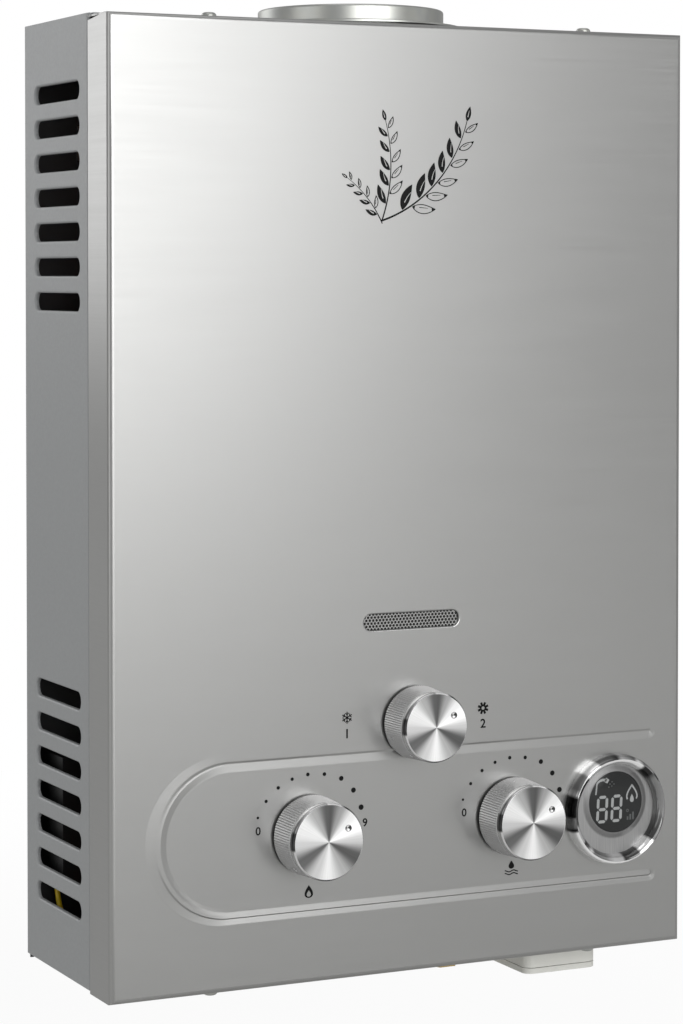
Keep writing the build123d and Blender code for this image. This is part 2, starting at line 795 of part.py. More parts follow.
with BuildPart() as overheat_cutout:
    block((-core_width / 2 - cutout_thickness, -core_width / 2),
          (core_out - cutout_width / 2, core_out + cutout_width / 2),
          (cutout_z - cutout_width / 2, cutout_z + cutout_width / 2))
overheat_cutout.part.label = "overheat_cutout"
export_step(overheat_cutout.part, "parts/overheat_cutout.step")

# Gas valve: cast body on the left of the linkage, with the gland of the gas spindle
gas_x, gas_z = knob_places["gas"][:2]
water_x, water_z = knob_places["water"][:2]
with BuildPart() as gas_valve_body:
    block((gas_body_left, gas_body_right), (valve_back, valve_face), (gas_body_low, gas_body_high))
    chamfer(gas_valve_body.edges().filter_by(Axis.X), cast_round)
    block((gas_pipe_x - gas_arm_width / 2, gas_pipe_x + gas_arm_width / 2),
          (valve_face - cast_round, manifold_out + gas_arm_width / 2), (gas_arm_low, gas_arm_high))
    with BuildSketch(facing_room(gas_x, gas_z, valve_face - cast_round)):
        RegularPolygon(gland_radius, 6)
    extrude(amount=gland_reach + cast_round)
    with BuildSketch(facing_room(gas_x, gas_z, gland_end)):
        many_sided(spindle_radius + spindle_fit)
    extrude(amount=-gland_bore_depth, mode=Mode.SUBTRACT)
    with BuildSketch(Plane.YZ.offset(gas_body_right)):
        with Locations((-valve_out, valve_z)):
            many_sided(rod_radius + rod_fit, pipe_sides)
    extrude(amount=rod_gas_end - gas_body_right - 2 * rod_travel, mode=Mode.SUBTRACT)
gas_valve_body.part.label = "gas_valve_body"
export_step(gas_valve_body.part, "parts/gas_valve_body.step")

with BuildPart() as solenoid_valve:
    block((gas_body_left - solenoid_length, gas_body_left),
          (valve_out - solenoid_width / 2, valve_out + solenoid_width / 2),
          (valve_z - solenoid_width / 2, valve_z + solenoid_width / 2))
solenoid_valve.part.label = "solenoid_valve"
export_step(solenoid_valve.part, "parts/solenoid_valve.step")

# Water valve: brass body on the right with the inlet boss, the drain boss and the water gland
with BuildPart() as water_valve_body:
    with BuildSketch(Plane.YZ.offset(water_disc_left)):
        with Locations((-valve_out, valve_z)):
            many_sided(diaphragm_radius)
    extrude(amount=water_disc_thickness)
    block((water_block_left, water_block_right), (valve_back, valve_back + water_block_depth),
          (water_block_low, water_block_low + water_block_height))
    block((water_block_right, riser_x + water_arm_half_depth),
          (tube_first_out - water_arm_half_depth, tube_first_out + water_arm_half_depth),
          (water_arm_low, water_arm_high))
    with BuildSketch(facing_room(water_x, water_z, valve_face - cast_round)):
        RegularPolygon(gland_radius, 6)
    extrude(amount=gland_reach + cast_round)
    with BuildSketch(Plane.XY.offset(water_inlet_end)):
        with Locations((cold_inlet_x, -valve_out)):
            RegularPolygon(water_boss_radius, 6)
    extrude(amount=water_boss_length + cast_round)
    with BuildSketch(Plane.XY.offset(drain_boss_end)):
        with Locations((drain_x, -drain_out)):
            RegularPolygon(drain_stem_radius + drain_fit + drain_boss_wall, 6, major_radius=False)
    extrude(amount=water_block_low + cast_round - drain_boss_end)
    with BuildSketch(facing_room(water_x, water_z, gland_end)):
        many_sided(spindle_radius + spindle_fit)
    extrude(amount=-gland_bore_depth, mode=Mode.SUBTRACT)
    with BuildSketch(Plane.XY.offset(drain_boss_end)):
        with Locations((drain_x, -drain_out)):
            many_sided(drain_stem_radius + drain_fit)
    extrude(amount=drain_bore_top - drain_boss_end, mode=Mode.SUBTRACT)
water_valve_body.part.label = "water_valve_body"
export_step(water_valve_body.part, "parts/water_valve_body.step")

with BuildPart() as diaphragm:
    with BuildSketch(Plane.YZ.offset(water_cover_right)):
        with Locations((-valve_out, valve_z)):
            many_sided(diaphragm_radius)
    extrude(amount=diaphragm_thickness)
diaphragm.part.label = "diaphragm"
export_step(diaphragm.part, "parts/diaphragm.step")

with BuildPart() as water_valve_cover:
    with BuildSketch(Plane.YZ.offset(water_cover_left)):
        with Locations((-valve_out, valve_z)):
            many_sided(diaphragm_radius)
    extrude(amount=water_cover_thickness)
    with BuildSketch(Plane.YZ.offset(water_cover_left)):
        with Locations((-valve_out, valve_z)):
            RegularPolygon(rod_boss_radius, 6)
    extrude(amount=-rod_boss_length)
    with BuildSketch(Plane.YZ.offset(water_cover_right)):
        with Locations((-valve_out, valve_z)):
            many_sided(rod_radius + rod_fit, pipe_sides)
    extrude(amount=-rod_boss_length - water_cover_thickness, mode=Mode.SUBTRACT)
water_valve_cover.part.label = "water_valve_cover"
export_step(water_valve_cover.part, "parts/water_valve_cover.step")

with BuildPart() as valve_screws:
    with BuildSketch(Plane.YZ.offset(water_cover_left)):
        with Locations((-valve_out, valve_z)):
            with PolarLocations(valve_screw_circle, 4, start_angle=45):
                RegularPolygon(valve_screw_radius, 6)
    extrude(amount=-valve_screw_head)
valve_screws.part.label = "valve_screws"
export_step(valve_screws.part, "parts/valve_screws.step")

# Push rod: the water valve's diaphragm moves it to the left to open the gas valve
with BuildPart() as push_rod:
    with BuildSketch(Plane.YZ.offset(rod_gas_end)):
        with Locations((-valve_out, valve_z)):
            Circle(rod_radius)
    extrude(amount=water_cover_right - rod_gap - rod_gas_end)
push_rod.part.label = "push_rod"
export_step(push_rod.part, "parts/push_rod.step")

with BuildPart() as microswitch:
    block((gas_body_right, gas_body_right + switch_width),
          (valve_out - switch_depth / 2, valve_out + switch_depth / 2),
          (valve_z + switch_rise, valve_z + switch_rise + switch_height))
microswitch.part.label = "microswitch"
export_step(microswitch.part, "parts/microswitch.step")

with BuildPart() as valve_bracket:
    heights = (valve_z - valve_bracket_height / 2, valve_z + valve_bracket_height / 2)
    thickness = valve_bracket_thickness
    block((valve_bracket_left, valve_bracket_right), (valve_back - thickness, valve_back), heights)
    for web_x, foot_end in ((valve_bracket_left, valve_bracket_left - valve_bracket_foot),
                            (valve_bracket_right, valve_bracket_right - valve_bracket_foot)):
        inward = thickness if web_x < 0 else -thickness
        block((web_x, web_x + inward), (sheet, valve_back), heights)
        block((web_x + inward, foot_end), (sheet, sheet + thickness), heights)
valve_bracket.part.label = "valve_bracket"
export_step(valve_bracket.part, "parts/valve_bracket.step")

# Winter and summer gas divider in the middle of the manifold
with BuildPart() as season_valve:
    block((season_x - season_block / 2, season_x + season_block / 2), (manifold_back, season_face),
          (season_z - season_block / 2, season_z + season_block / 2))
    with BuildSketch(facing_room(season_x, season_z, season_face)):
        RegularPolygon(season_boss_radius, 6)
    extrude(amount=season_boss_reach)
    with BuildSketch(facing_room(season_x, season_z, season_end)):
        many_sided(spindle_radius + spindle_fit)
    extrude(amount=-season_bore_depth, mode=Mode.SUBTRACT)
season_valve.part.label = "season_valve"
export_step(season_valve.part, "parts/season_valve.step")

# Connections: a threaded stub below the plate, a relief, a hexagon on the plate and a neck to the valve
connections = {
    "gas_inlet": (gas_inlet_x, valve_out, gas_body_low),
    "cold_inlet": (cold_inlet_x, valve_out, water_inlet_end),
    "hot_outlet": (-riser_x, valve_out, hot_pipe_end),
}
hex_low = floor_z + sheet
for name, (x, out, top) in connections.items():
    with BuildPart() as connection:
        upright(x, out, thread_end_z, thread_top_z, thread_radius)
        with BuildSketch(Plane.XY.offset(thread_top_z)):
            with Locations((x, -out)):
                RegularPolygon(relief_radius, pipe_sides)
        extrude(amount=hex_low - thread_top_z)
        with BuildSketch(Plane.XY.offset(hex_low)):
            with Locations((x, -out)):
                RegularPolygon(connection_hex, 6, major_radius=False)
        extrude(amount=connection_hex_thickness)
        with BuildSketch(Plane.XY.offset(hex_low + connection_hex_thickness)):
            with Locations((x, -out)):
                RegularPolygon(connection_neck_radius, pipe_sides)
        extrude(amount=top - hex_low - connection_hex_thickness)
        with BuildSketch(Plane.XY.offset(thread_end_z)):
            with Locations((x, -out)):
                many_sided(connection_bore, pipe_sides)
        extrude(amount=connection_bore_depth, mode=Mode.SUBTRACT)
    connection.part.label = name
    export_step(connection.part, f"parts/{name}.step")

with BuildPart() as inlet_filter:
    with BuildSketch(Plane.XY.offset(filter_bottom)):
        with Locations((cold_inlet_x, -valve_out)):
            many_sided(connection_bore - filter_gap, pipe_sides)
    extrude(amount=filter_top - filter_bottom)
inlet_filter.part.label = "inlet_filter"
export_step(inlet_filter.part, "parts/inlet_filter.step")

with BuildPart() as drain_plug:
    with BuildSketch(Plane.XY.offset(drain_head_bottom)):
        with Locations((drain_x, -drain_out)):
            RegularPolygon(drain_head_radius, 6)
    extrude(amount=drain_head_top - drain_head_bottom)
    upright(drain_x, drain_out, drain_head_top, drain_stem_top, drain_stem_radius)
drain_plug.part.label = "drain_plug"
export_step(drain_plug.part, "parts/drain_plug.step")

# Pipes: a water pipe is an upright run and one bend, the hot one also jogs back to the outlets' line
water_pipes = {
    "cold_pipe": (1, tube_first_out, tube_first_out, water_arm_high),
    "hot_pipe": (-1, tube_last_out, valve_out, hot_pipe_end),
}
for name, (side, out, foot_out, low) in water_pipes.items():
    with BuildPart() as pipe:
        with BuildLine():
            bend = turn_points((riser_x - pipe_bend, tube_z - pipe_bend), pipe_bend, 0, 90, pipe_steps)
            run = [(riser_x, foot_out, low)]
            if foot_out != out:
                run += [(riser_x, *point) for point in jog_points(foot_out, out, low + jog_rise)]
            run += [(x, out, z) for x, z in (*bend, (core_width / 2, tube_z))]
            Polyline(*[(side * x, -y, z) for x, y, z in run])
        with BuildSketch(Plane.XY.offset(low)):
            with Locations((side * riser_x, -foot_out)):
                many_sided(pipe_radius, pipe_sides)
        sweep(transition=Transition.RIGHT)
    pipe.part.label = name
    export_step(pipe.part, f"parts/{name}.step")

with BuildPart() as gas_pipe:
    with BuildSketch(Plane.XY.offset(gas_arm_high)):
        with Locations((gas_pipe_x, -manifold_out)):
            many_sided(gas_pipe_radius, pipe_sides)
    extrude(amount=manifold_z - manifold_size / 2 - gas_arm_high)
gas_pipe.part.label = "gas_pipe"
export_step(gas_pipe.part, "parts/gas_pipe.step")

# Knobs: each a knurled skirt that narrows to the front, a cap with a cut edge on it, and a
# spindle with a flat that runs from the skirt into the valve's gland
spindle_starts = {"gas": gland_end, "water": gland_end, "season": season_end}
bore_depths = {"gas": gland_bore_depth, "water": gland_bore_depth, "season": season_bore_depth}
base_out = body_depth + knob_gap
cap_back = knob_front - cap_thickness
for name, (x, z, base_radius, face_radius) in knob_places.items():
    with BuildPart() as skirt:
        with BuildSketch(facing_room(x, z, base_out)):
            with BuildLine():
                turns = [pi * i / knurl_count for i in range(2 * knurl_count)]
                radii = [base_radius - knurl_depth * (i % 2) for i in range(2 * knurl_count)]
                Polyline(*[(r * cos(a), r * sin(a)) for r, a in zip(radii, turns)], close=True)
            make_face()
        narrowing = base_radius - face_radius - knurl_end_inset
        extrude(amount=cap_back - base_out, taper=degrees(atan2(narrowing, cap_back - base_out)))
        with BuildSketch(facing_room(x, z, base_out)):
            many_sided(spindle_radius + spindle_fit)
            with Locations((0, 2 * spindle_radius - spindle_flat + spindle_fit)):
                Rectangle(3 * spindle_radius, 2 * spindle_radius, mode=Mode.SUBTRACT)
        extrude(amount=cap_back - spindle_tip_gap - base_out, mode=Mode.SUBTRACT)
    skirt.part.label = f"{name}_knob_skirt"
    export_step(skirt.part, f"parts/{name}_knob_skirt.step")

    with BuildPart() as cap:
        with BuildSketch(facing_room(x, z, cap_back)):
            RegularPolygon(face_radius, knurl_count)
        extrude(amount=cap_thickness)
        chamfer(cap.faces().sort_by(Axis.Y)[0].edges(), cap_bevel)
        turn = radians(pointer_angle)
        reach = pointer_radius * face_radius / knob_places["gas"][3]
        with BuildSketch(facing_room(x + reach * cos(turn), z + reach * sin(turn), knob_front)):
            many_sided(dimple_radius, small_sides)
        extrude(amount=-dimple_depth, mode=Mode.SUBTRACT)
    cap.part.label = f"{name}_knob_cap"
    export_step(cap.part, f"parts/{name}_knob_cap.step")

    with BuildPart() as spindle:
        spindle_start = spindle_starts[name] - bore_depths[name] + spindle_seat
        with BuildSketch(facing_room(x, z, spindle_start)):
            Circle(spindle_radius)
        extrude(amount=cap_back - 2 * spindle_tip_gap - spindle_start)
        flat_z = z + spindle_radius - spindle_flat
        block((x - 2 * spindle_radius, x + 2 * spindle_radius), (base_out - spindle_seat, knob_front),
              (flat_z, flat_z + 2 * spindle_radius), mode=Mode.SUBTRACT)
    spindle.part.label = f"{name}_spindle"
    export_step(spindle.part, f"parts/{name}_spindle.step")

# Display: a turned bezel round the dial, the dark lens on it, and the circuit board behind
dial_front = body_depth + dial_thickness
bezel_front = body_depth + bezel_height
with BuildPart() as display_bezel:
    with BuildSketch(facing_room(display_x, display_z, body_depth)):
        RegularPolygon(bezel_radius, bezel_sides)
    extrude(amount=bezel_shoulder)
    for out, radius in ((body_depth + bezel_shoulder, bezel_radius), (bezel_front, bezel_crest_radius)):
        with BuildSketch(facing_room(display_x, display_z, out)):
            RegularPolygon(radius, bezel_sides)
    loft(ruled=True)
    for out, radius in ((dial_front, bezel_opening_radius), (bezel_front, bezel_crest_radius - bezel_edge)):
        with BuildSketch(facing_room(display_x, display_z, out)):
            RegularPolygon(radius, bezel_sides)
    loft(ruled=True, mode=Mode.SUBTRACT)
    with BuildSketch(facing_room(display_x, display_z, body_depth)):
        RegularPolygon(bezel_opening_radius, bezel_sides)
    extrude(amount=dial_thickness, mode=Mode.SUBTRACT)
display_bezel.part.label = "display_bezel"
export_step(display_bezel.part, "parts/display_bezel.step")

with BuildPart() as display_dial:
    with BuildSketch(facing_room(display_x, display_z, body_depth)):
        RegularPolygon(bezel_opening_radius - dial_fit, bezel_sides)
    extrude(amount=dial_thickness)
display_dial.part.label = "display_dial"
export_step(display_dial.part, "parts/display_dial.step")

with BuildPart() as display_lens:
    with BuildSketch(facing_room(display_x, display_z + lens_rise, dial_front)):
        RegularPolygon(lens_radius, bezel_sides)
    extrude(amount=lens_thickness)
display_lens.part.label = "display_lens"
export_step(display_lens.part, "parts/display_lens.step")

with BuildPart() as display_board:
    with BuildSketch(facing_room(display_x, display_z, body_depth)):
        Rectangle(board_width, board_height)
    extrude(amount=-board_depth)
display_board.part.label = "display_board"
export_step(display_board.part, "parts/display_board.step")

# Battery box: an open-bottomed cup with two hinge lugs, its door and its contacts
door_top = battery_bottom_z - door_gap
door_low = door_top - door_thickness
lug_low = hinge_z - lug_radius
with BuildPart() as battery_box:
    with BuildSketch(Plane.XY.offset(lug_low)):
        with Locations((battery_x, -battery_out)):
            RectangleRounded(battery_width, battery_depth, battery_corner)
    extrude(amount=battery_top_z - lug_low)
    with BuildSketch(Plane.XY.offset(lug_low)):
        with Locations((battery_x, -battery_out)):
            add(cut_corner_outline(battery_inner_width, battery_inner_depth, battery_corner - battery_wall))
    extrude(amount=battery_top_z - battery_wall - lug_low, mode=Mode.SUBTRACT)
    block((battery_left - spare, battery_right + spare), (lug_front, battery_front_out + spare),
          (lug_low - spare, battery_bottom_z), mode=Mode.SUBTRACT)
    hinge_clearing = hinge_radius + hinge_room
    block((battery_left + battery_wall, battery_right - battery_wall), (0, hinge_out + hinge_clearing),
          (lug_low - spare, hinge_z + hinge_clearing), mode=Mode.SUBTRACT)
    with BuildSketch(Plane.YZ.offset(battery_left - spare)):
        with BuildLine():
            Polyline(
                (-lug_front, lug_low), (-lug_front, lug_low + lug_corner), (lug_corner - lug_front, lug_low),
                close=True,
            )
        make_face()
        with Locations((-hinge_out, hinge_z)):
            many_sided(hinge_pin_radius + hinge_pin_fit, pipe_sides)
    extrude(amount=battery_width + 2 * spare, mode=Mode.SUBTRACT)
battery_box.part.label = "battery_box"
export_step(battery_box.part, "parts/battery_box.step")

with BuildPart() as battery_door:
    with BuildSketch(Plane.XY.offset(door_low)):
        with Locations((battery_x, -battery_front_out)):
            Rectangle(battery_width, battery_front_out - hinge_out, align=(Align.CENTER, Align.MIN))
    extrude(amount=door_thickness)
    fillet(battery_door.edges().filter_by(Axis.Z).group_by(Axis.Y)[0], battery_corner)
    tongue_half = battery_inner_width / 2 - door_gap
    for side in (-1, 1):
        block((battery_x + side * tongue_half, battery_x + side * battery_width),
              (0, lug_front + door_gap_at_lug), (door_low - spare, door_top + spare), mode=Mode.SUBTRACT)
    with BuildSketch(Plane.YZ.offset(battery_x - tongue_half)):
        with Locations((-hinge_out, hinge_z)):
            RegularPolygon(hinge_radius, small_sides)
    extrude(amount=2 * tongue_half)
    with BuildSketch(Plane.YZ.offset(battery_left + door_gap)):
        with Locations((-hinge_out, hinge_z)):
            Circle(hinge_pin_radius)
    extrude(amount=battery_width - 2 * door_gap)
    catch_out = battery_front_out - battery_wall - catch_gap
    for side in (-1, 1):
        middle = battery_x + side * catch_offset
        block((middle - catch_width / 2, middle + catch_width / 2), (catch_out - catch_thickness, catch_out),
              (door_top, door_top + catch_height))
battery_door.part.label = "battery_door"
export_step(battery_door.part, "parts/battery_door.step")

with BuildPart() as door_contact:
    block((battery_x - door_contact_width / 2, battery_x + door_contact_width / 2),
          (battery_back_out + battery_wall + door_contact_margin,
           battery_front_out - battery_wall - door_contact_margin),
          (door_top, door_top + contact_thickness))
door_contact.part.label = "door_contact"
export_step(door_contact.part, "parts/door_contact.step")

with BuildPart() as battery_contacts:
    roof = battery_top_z - battery_wall
    for shift in (-cell_diameter / 2, cell_diameter / 2):
        out = battery_out + shift
        block((battery_x - contact_plate / 2, battery_x + contact_plate / 2),
              (out - contact_plate / 2, out + contact_plate / 2), (roof - contact_thickness, roof))
        block((battery_x - contact_nub_width / 2, battery_x + contact_nub_width / 2),
              (out - contact_nub_width / 2, out + contact_nub_width / 2),
              (roof - contact_thickness - contact_nub_height, roof - contact_thickness))
battery_contacts.part.label = "battery_contacts"
export_step(battery_contacts.part, "parts/battery_contacts.step")

# Ignition controller on the back of the casing, at the left
with BuildPart() as ignition_controller:
    block((controller_x - controller_width / 2, controller_x + controller_width / 2),
          (sheet, sheet + controller_depth), (controller_z, controller_z + controller_height))
ignition_controller.part.label = "ignition_controller"
export_step(ignition_controller.part, "parts/ignition_controller.step")

# Yellow lead from the controller to the battery box. Its points are chosen by hand: down from
# the controller, forwards behind the lowest left vent, along the bottom and across to the box.
lead_points = [
    (-134.0, -12.0, controller_z),
    (-134.0, -12.0, 29.0),
    (-134.5, -21.0, 20.0),
    (-134.0, -37.0, 13.5),
    (-131.0, -62.0, 9.5),
    (-112.0, -86.0, 9.0),
    (-74.0, -95.5, 8.5),
    (-26.0, -91.0, 8.0),
    (30.0, -93.0, 9.0),
    (56.0, -76.0, 15.0),
    (battery_left, -76.0, 15.0),
]
runs = [Vector(*b) - Vector(*a) for a, b in zip(lead_points, lead_points[1:])]
lead_radii = [
    lead_share * min(before.length, after.length) / tan(radians(before.get_angle(after) / 2))
    for before, after in zip(runs, runs[1:])
]
print("lead radii", [round(radius, 1) for radius in lead_radii])
with BuildPart() as battery_lead:
    with BuildLine():
        FilletPolyline(*lead_points, radius=lead_radii)
    with BuildSketch(Plane(origin=lead_points[0], z_dir=runs[0])):
        many_sided(lead_radius, lead_sides)
    sweep()
battery_lead.part.label = "battery_lead"
export_step(battery_lead.part, "parts/battery_lead.step")
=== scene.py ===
# %% [markdown]
# # A wall-hung gas water heater
# The object is a shallow box that hangs on a wall: a pressed stainless cover in front of a grey
# painted casing, with three knurled knobs, a round display, a small flame window, side vents and a
# flue collar. The CAD model gives every size and every moving body. This lesson dresses it: each
# step names what a piece is on the real heater, and then makes it as a surface worked out with numpy.

# %% Load the frame
import json
from math import cos, pi, radians, sin, sqrt

import bmesh
import bpy
import numpy as np
from mathutils.geometry import delaunay_2d_cdt
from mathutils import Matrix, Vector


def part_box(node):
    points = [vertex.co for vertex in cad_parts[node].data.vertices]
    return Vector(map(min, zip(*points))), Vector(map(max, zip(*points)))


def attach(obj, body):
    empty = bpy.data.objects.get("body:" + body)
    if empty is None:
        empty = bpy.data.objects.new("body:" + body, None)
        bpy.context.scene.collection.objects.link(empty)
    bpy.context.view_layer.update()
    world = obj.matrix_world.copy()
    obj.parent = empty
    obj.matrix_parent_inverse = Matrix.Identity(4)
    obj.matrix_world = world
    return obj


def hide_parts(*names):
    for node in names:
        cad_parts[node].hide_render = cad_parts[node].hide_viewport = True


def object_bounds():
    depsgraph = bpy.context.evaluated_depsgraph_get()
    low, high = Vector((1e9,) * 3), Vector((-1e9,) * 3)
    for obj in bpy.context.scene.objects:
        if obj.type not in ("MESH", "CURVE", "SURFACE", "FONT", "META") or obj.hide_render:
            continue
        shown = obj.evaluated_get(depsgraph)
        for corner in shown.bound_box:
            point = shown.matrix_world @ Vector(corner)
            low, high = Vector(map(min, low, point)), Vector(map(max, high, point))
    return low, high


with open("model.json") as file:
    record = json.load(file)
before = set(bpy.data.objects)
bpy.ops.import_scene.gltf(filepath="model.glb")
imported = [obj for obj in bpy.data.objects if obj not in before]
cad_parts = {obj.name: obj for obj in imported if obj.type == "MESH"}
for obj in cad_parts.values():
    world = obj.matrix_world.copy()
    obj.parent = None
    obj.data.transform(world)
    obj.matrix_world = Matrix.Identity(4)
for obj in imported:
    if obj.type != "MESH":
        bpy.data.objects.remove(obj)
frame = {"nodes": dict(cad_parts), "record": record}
cad_low, cad_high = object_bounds()

# %% [markdown]
# ## Units and boxes
# A maker of sheet metal thinks in millimetres and in depths from the wall. So every point here is
# (x, out, z): x to the right, out from the wall towards the room, z up from the cover's lower edge.
# One function turns such points into Blender's metres, where out points along -Y.

# %% Points in millimetres
MM = 0.001


def in_metres(points):
    """Scene points for (x, out, z) in millimetres: x stays, out becomes -y, and all shrink by 1000."""
    return np.asarray(points, float) * (MM, -MM, MM)


def box_of(node):
    """A CAD node's lowest and highest x, out and z in millimetres."""
    low, high = (np.array(corner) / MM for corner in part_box(node))
    return np.array((low[0], -high[1], low[2])), np.array((high[0], -low[1], high[2]))


cover_low, cover_high = box_of("front_cover")
half_width, face_out, cover_height = cover_high
rim_out = cover_low[1]
print("cover:", round(2 * half_width, 1), "wide,", round(cover_height, 1), "high,",
      "face", round(face_out, 1), "out")

# %% [markdown]
# ## Surfaces
# Nearly every piece is a grid: a profile of a few points that is carried round an axis or along a
# path. The grid is worked out as one array, and the faces are quads between its neighbours. Flat
# sheet with holes is different: there a constrained triangulation fills the outline, because flat
# metal needs no inner points.

# %% Directions and grids


def rays(angle):
    """Unit vectors (cos a, sin a), one for each angle."""
    return np.stack((np.cos(angle), np.sin(angle)), axis=-1)


def quarter(steps):
    """The angles of a quarter turn, from 0 to 90 degrees in that many steps."""
    return np.radians(np.linspace(0, 90, steps + 1))


def at_out(points, out):
    """Flat points (x, z) as points (x, out, z)."""
    return np.insert(points, 1, out, axis=1)


def grid_surface(points, closed=False):
    """Vertices and quads of a grid of points (rows, columns, 3). If closed, last and first column join."""
    rows, columns, _ = points.shape
    start = np.arange(rows - 1)[:, None] * columns
    column = np.arange(columns if closed else columns - 1)
    beside = (column + 1) % columns
    corners = (start + column, start + beside, start + columns + beside, start + columns + column)
    return points.reshape(-1, 3), np.stack([corner.ravel() for corner in corners], axis=1).tolist()


def round_surface(centre, radius, turn, height, upright=False):
    """A closed grid round an axis: u = radius cos a, v = radius sin a. The axis points out of the wall
    through centre (x, z), or up through centre (x, out). Radius and height can differ by row and column."""
    u, v = centre[0] + radius * np.cos(turn), centre[1] + radius * np.sin(turn)
    height = np.broadcast_to(height, u.shape)
    return grid_surface(np.stack((u, v, height) if upright else (u, height, v), axis=2), closed=True)


def turned_surface(profile, centre, sides, upright=False, first=0.0):
    """A profile of (radius, height) pairs turned about an axis, from the angle first."""
    radius, height = np.asarray(profile, float).T[:, :, None]
    turn = first + np.linspace(0, 2 * pi, sides, endpoint=False)
    return round_surface(centre, radius, turn, height, upright)


def joined(*surfaces):
    """Several (vertices, faces) surfaces as one, with each one's corner numbers moved up."""
    starts = np.cumsum([0] + [len(vertices) for vertices, _ in surfaces[:-1]])
    faces = [[corner + start for corner in face] for (_, own), start in zip(surfaces, starts) for face in own]
    return np.concatenate([vertices for vertices, _ in surfaces]), faces


# %% Flat sheets


def inside(points, outline):
    """Which points lie inside an outline: a ray to the right crosses its edges an odd number of times."""
    x, y = points[:, 0, None], points[:, 1, None]
    ax, ay = outline[:, 0], outline[:, 1]
    bx, by = np.roll(ax, -1), np.roll(ay, -1)
    spans = (ay > y) != (by > y)
    crossing = ax + (y - ay) * (bx - ax) / np.where(by == ay, 1e-9, by - ay)
    return (spans & (x < crossing)).sum(axis=1) % 2 == 1


def flat_sheet(outer, holes, lines=()):
    """Triangles that fill the outer outline outside the holes, as 2-D points and faces.
    Further lines, each a list of points, become edges, so that the sheet can be bent along them."""
    chains = [np.asarray(chain, float) for chain in (outer, *holes, *lines)]
    edges, start = [], 0
    for number, chain in enumerate(chains):
        corners = start + np.arange(len(chain))
        pairs = np.stack((corners, np.roll(corners, -1)), axis=1)
        is_line = number > len(holes)
        edges += pairs[:-1 if is_line else None].tolist()
        start += len(chain)
    points, _, faces, *_ = delaunay_2d_cdt(np.concatenate(chains).tolist(), edges, [], 0, 1e-5)
    points = np.array([tuple(point) for point in points])
    middles = points[np.array(faces)].mean(axis=1)
    kept = inside(middles, chains[0])
    for hole in chains[1:len(holes) + 1]:
        kept &= ~inside(middles, hole)
    return points, [face for face, keep in zip(faces, kept) if keep]


def slot_loop(centre, length, height, grow=0.0, steps=24):
    """A slot's outline: two half circles, x = +-(length - height) / 2 + r cos a and z = r sin a, joined by
    straight lines."""
    turn = np.linspace(-pi / 2, pi / 2, steps + 1)
    turn = np.concatenate((turn, turn + pi))
    shift = np.where(np.arange(turn.size) <= steps, 1, -1) * (length - height) / 2
    radius = height / 2 + grow
    return np.stack((centre[0] + shift + radius * np.cos(turn), centre[1] + radius * np.sin(turn)), axis=1)


def circle_loop(centre, radius, steps=32):
    """Points round a circle: x = cx + r cos a, z = cz + r sin a."""
    return centre + radius * rays(np.linspace(0, 2 * pi, steps, endpoint=False))


# %% [markdown]
# Each surface becomes a mesh object that rides on one body of the CAD part. Its slot names the
# finish, and replaces names the plain CAD nodes that it stands for.

# %% Pieces
merge_distance = 2e-6
least_edge = 1e-7
flat_normal = 0.99999


def make_piece(name, surface, finish=None, body="heater", slot=None, replaces=(), sharp=35, outward=False,
               panels=False):
    """Makes a mesh object from (vertices in millimetres, faces), merges doubles and lets it ride on a body.
    Without a finish it gets its slot's. Edges sharper than the given angle stay crisp, and so do a sheet's
    rims, so that the wall which Solidify adds there doesn't bend the shading of the flat face. With
    outward=True the faces are turned outside. With panels=True the edges where a flat panel meets a bend or
    a groove are crisp too."""
    mesh = bpy.data.meshes.new(name)
    mesh.from_pydata(in_metres(surface[0]).tolist(), [], surface[1])
    shape = bmesh.new()
    shape.from_mesh(mesh)
    bmesh.ops.remove_doubles(shape, verts=shape.verts, dist=merge_distance)
    bmesh.ops.dissolve_degenerate(shape, edges=shape.edges, dist=least_edge)
    if outward:
        bmesh.ops.recalc_face_normals(shape, faces=shape.faces)
    shape.normal_update()
    flat = {face: panels and max(map(abs, face.normal)) > flat_normal for face in shape.faces}
    crisp = [edge.is_boundary or edge.calc_face_angle(0.0) > radians(sharp)
             or len({flat[face] for face in edge.link_faces}) > 1 for edge in shape.edges]
    shape.to_mesh(mesh)
    shape.free()
    mesh.shade_smooth()
    mesh.attributes.new("sharp_edge", "BOOLEAN", "EDGE").data.foreach_set("value", crisp)
    mesh.materials.append(finish or slot_finishes[slot])
    piece = bpy.data.objects.new(name, mesh)
    bpy.context.collection.objects.link(piece)
    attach(piece, body)
    if replaces:
        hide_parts(*replaces)
    return piece


def thicken(piece, thickness):
    """Gives a sheet its thickness in millimetres behind its front."""
    wall = piece.modifiers.new("thickness", "SOLIDIFY")
    wall.thickness = thickness * MM
    wall.offset = -1
    wall.use_even_offset = True


def flat_piece(name, surface, thickness, finish=None, **links):
    """A flat piece with a thickness, whose faces all look at the room, which is the -Y side."""
    piece = make_piece(name, surface, finish, **links)
    shape = bmesh.new()
    shape.from_mesh(piece.data)
    bmesh.ops.reverse_faces(shape, faces=[face for face in shape.faces if face.normal.y > 0])
    shape.to_mesh(piece.data)
    shape.free()
    thicken(piece, thickness)


# %% [markdown]
# ## Camera
# The camera was found from the photograph: the heater's edges and corners were measured there and a
# pinhole camera was fitted to them, with the box's true sizes. It stands a little left of the heater
# and looks almost level, with a long lens. The picture is 683 by 1024 pixels, so the 36 mm sensor
# width lies along the tall side, and the small vertical shift keeps the upright edges nearly parallel.

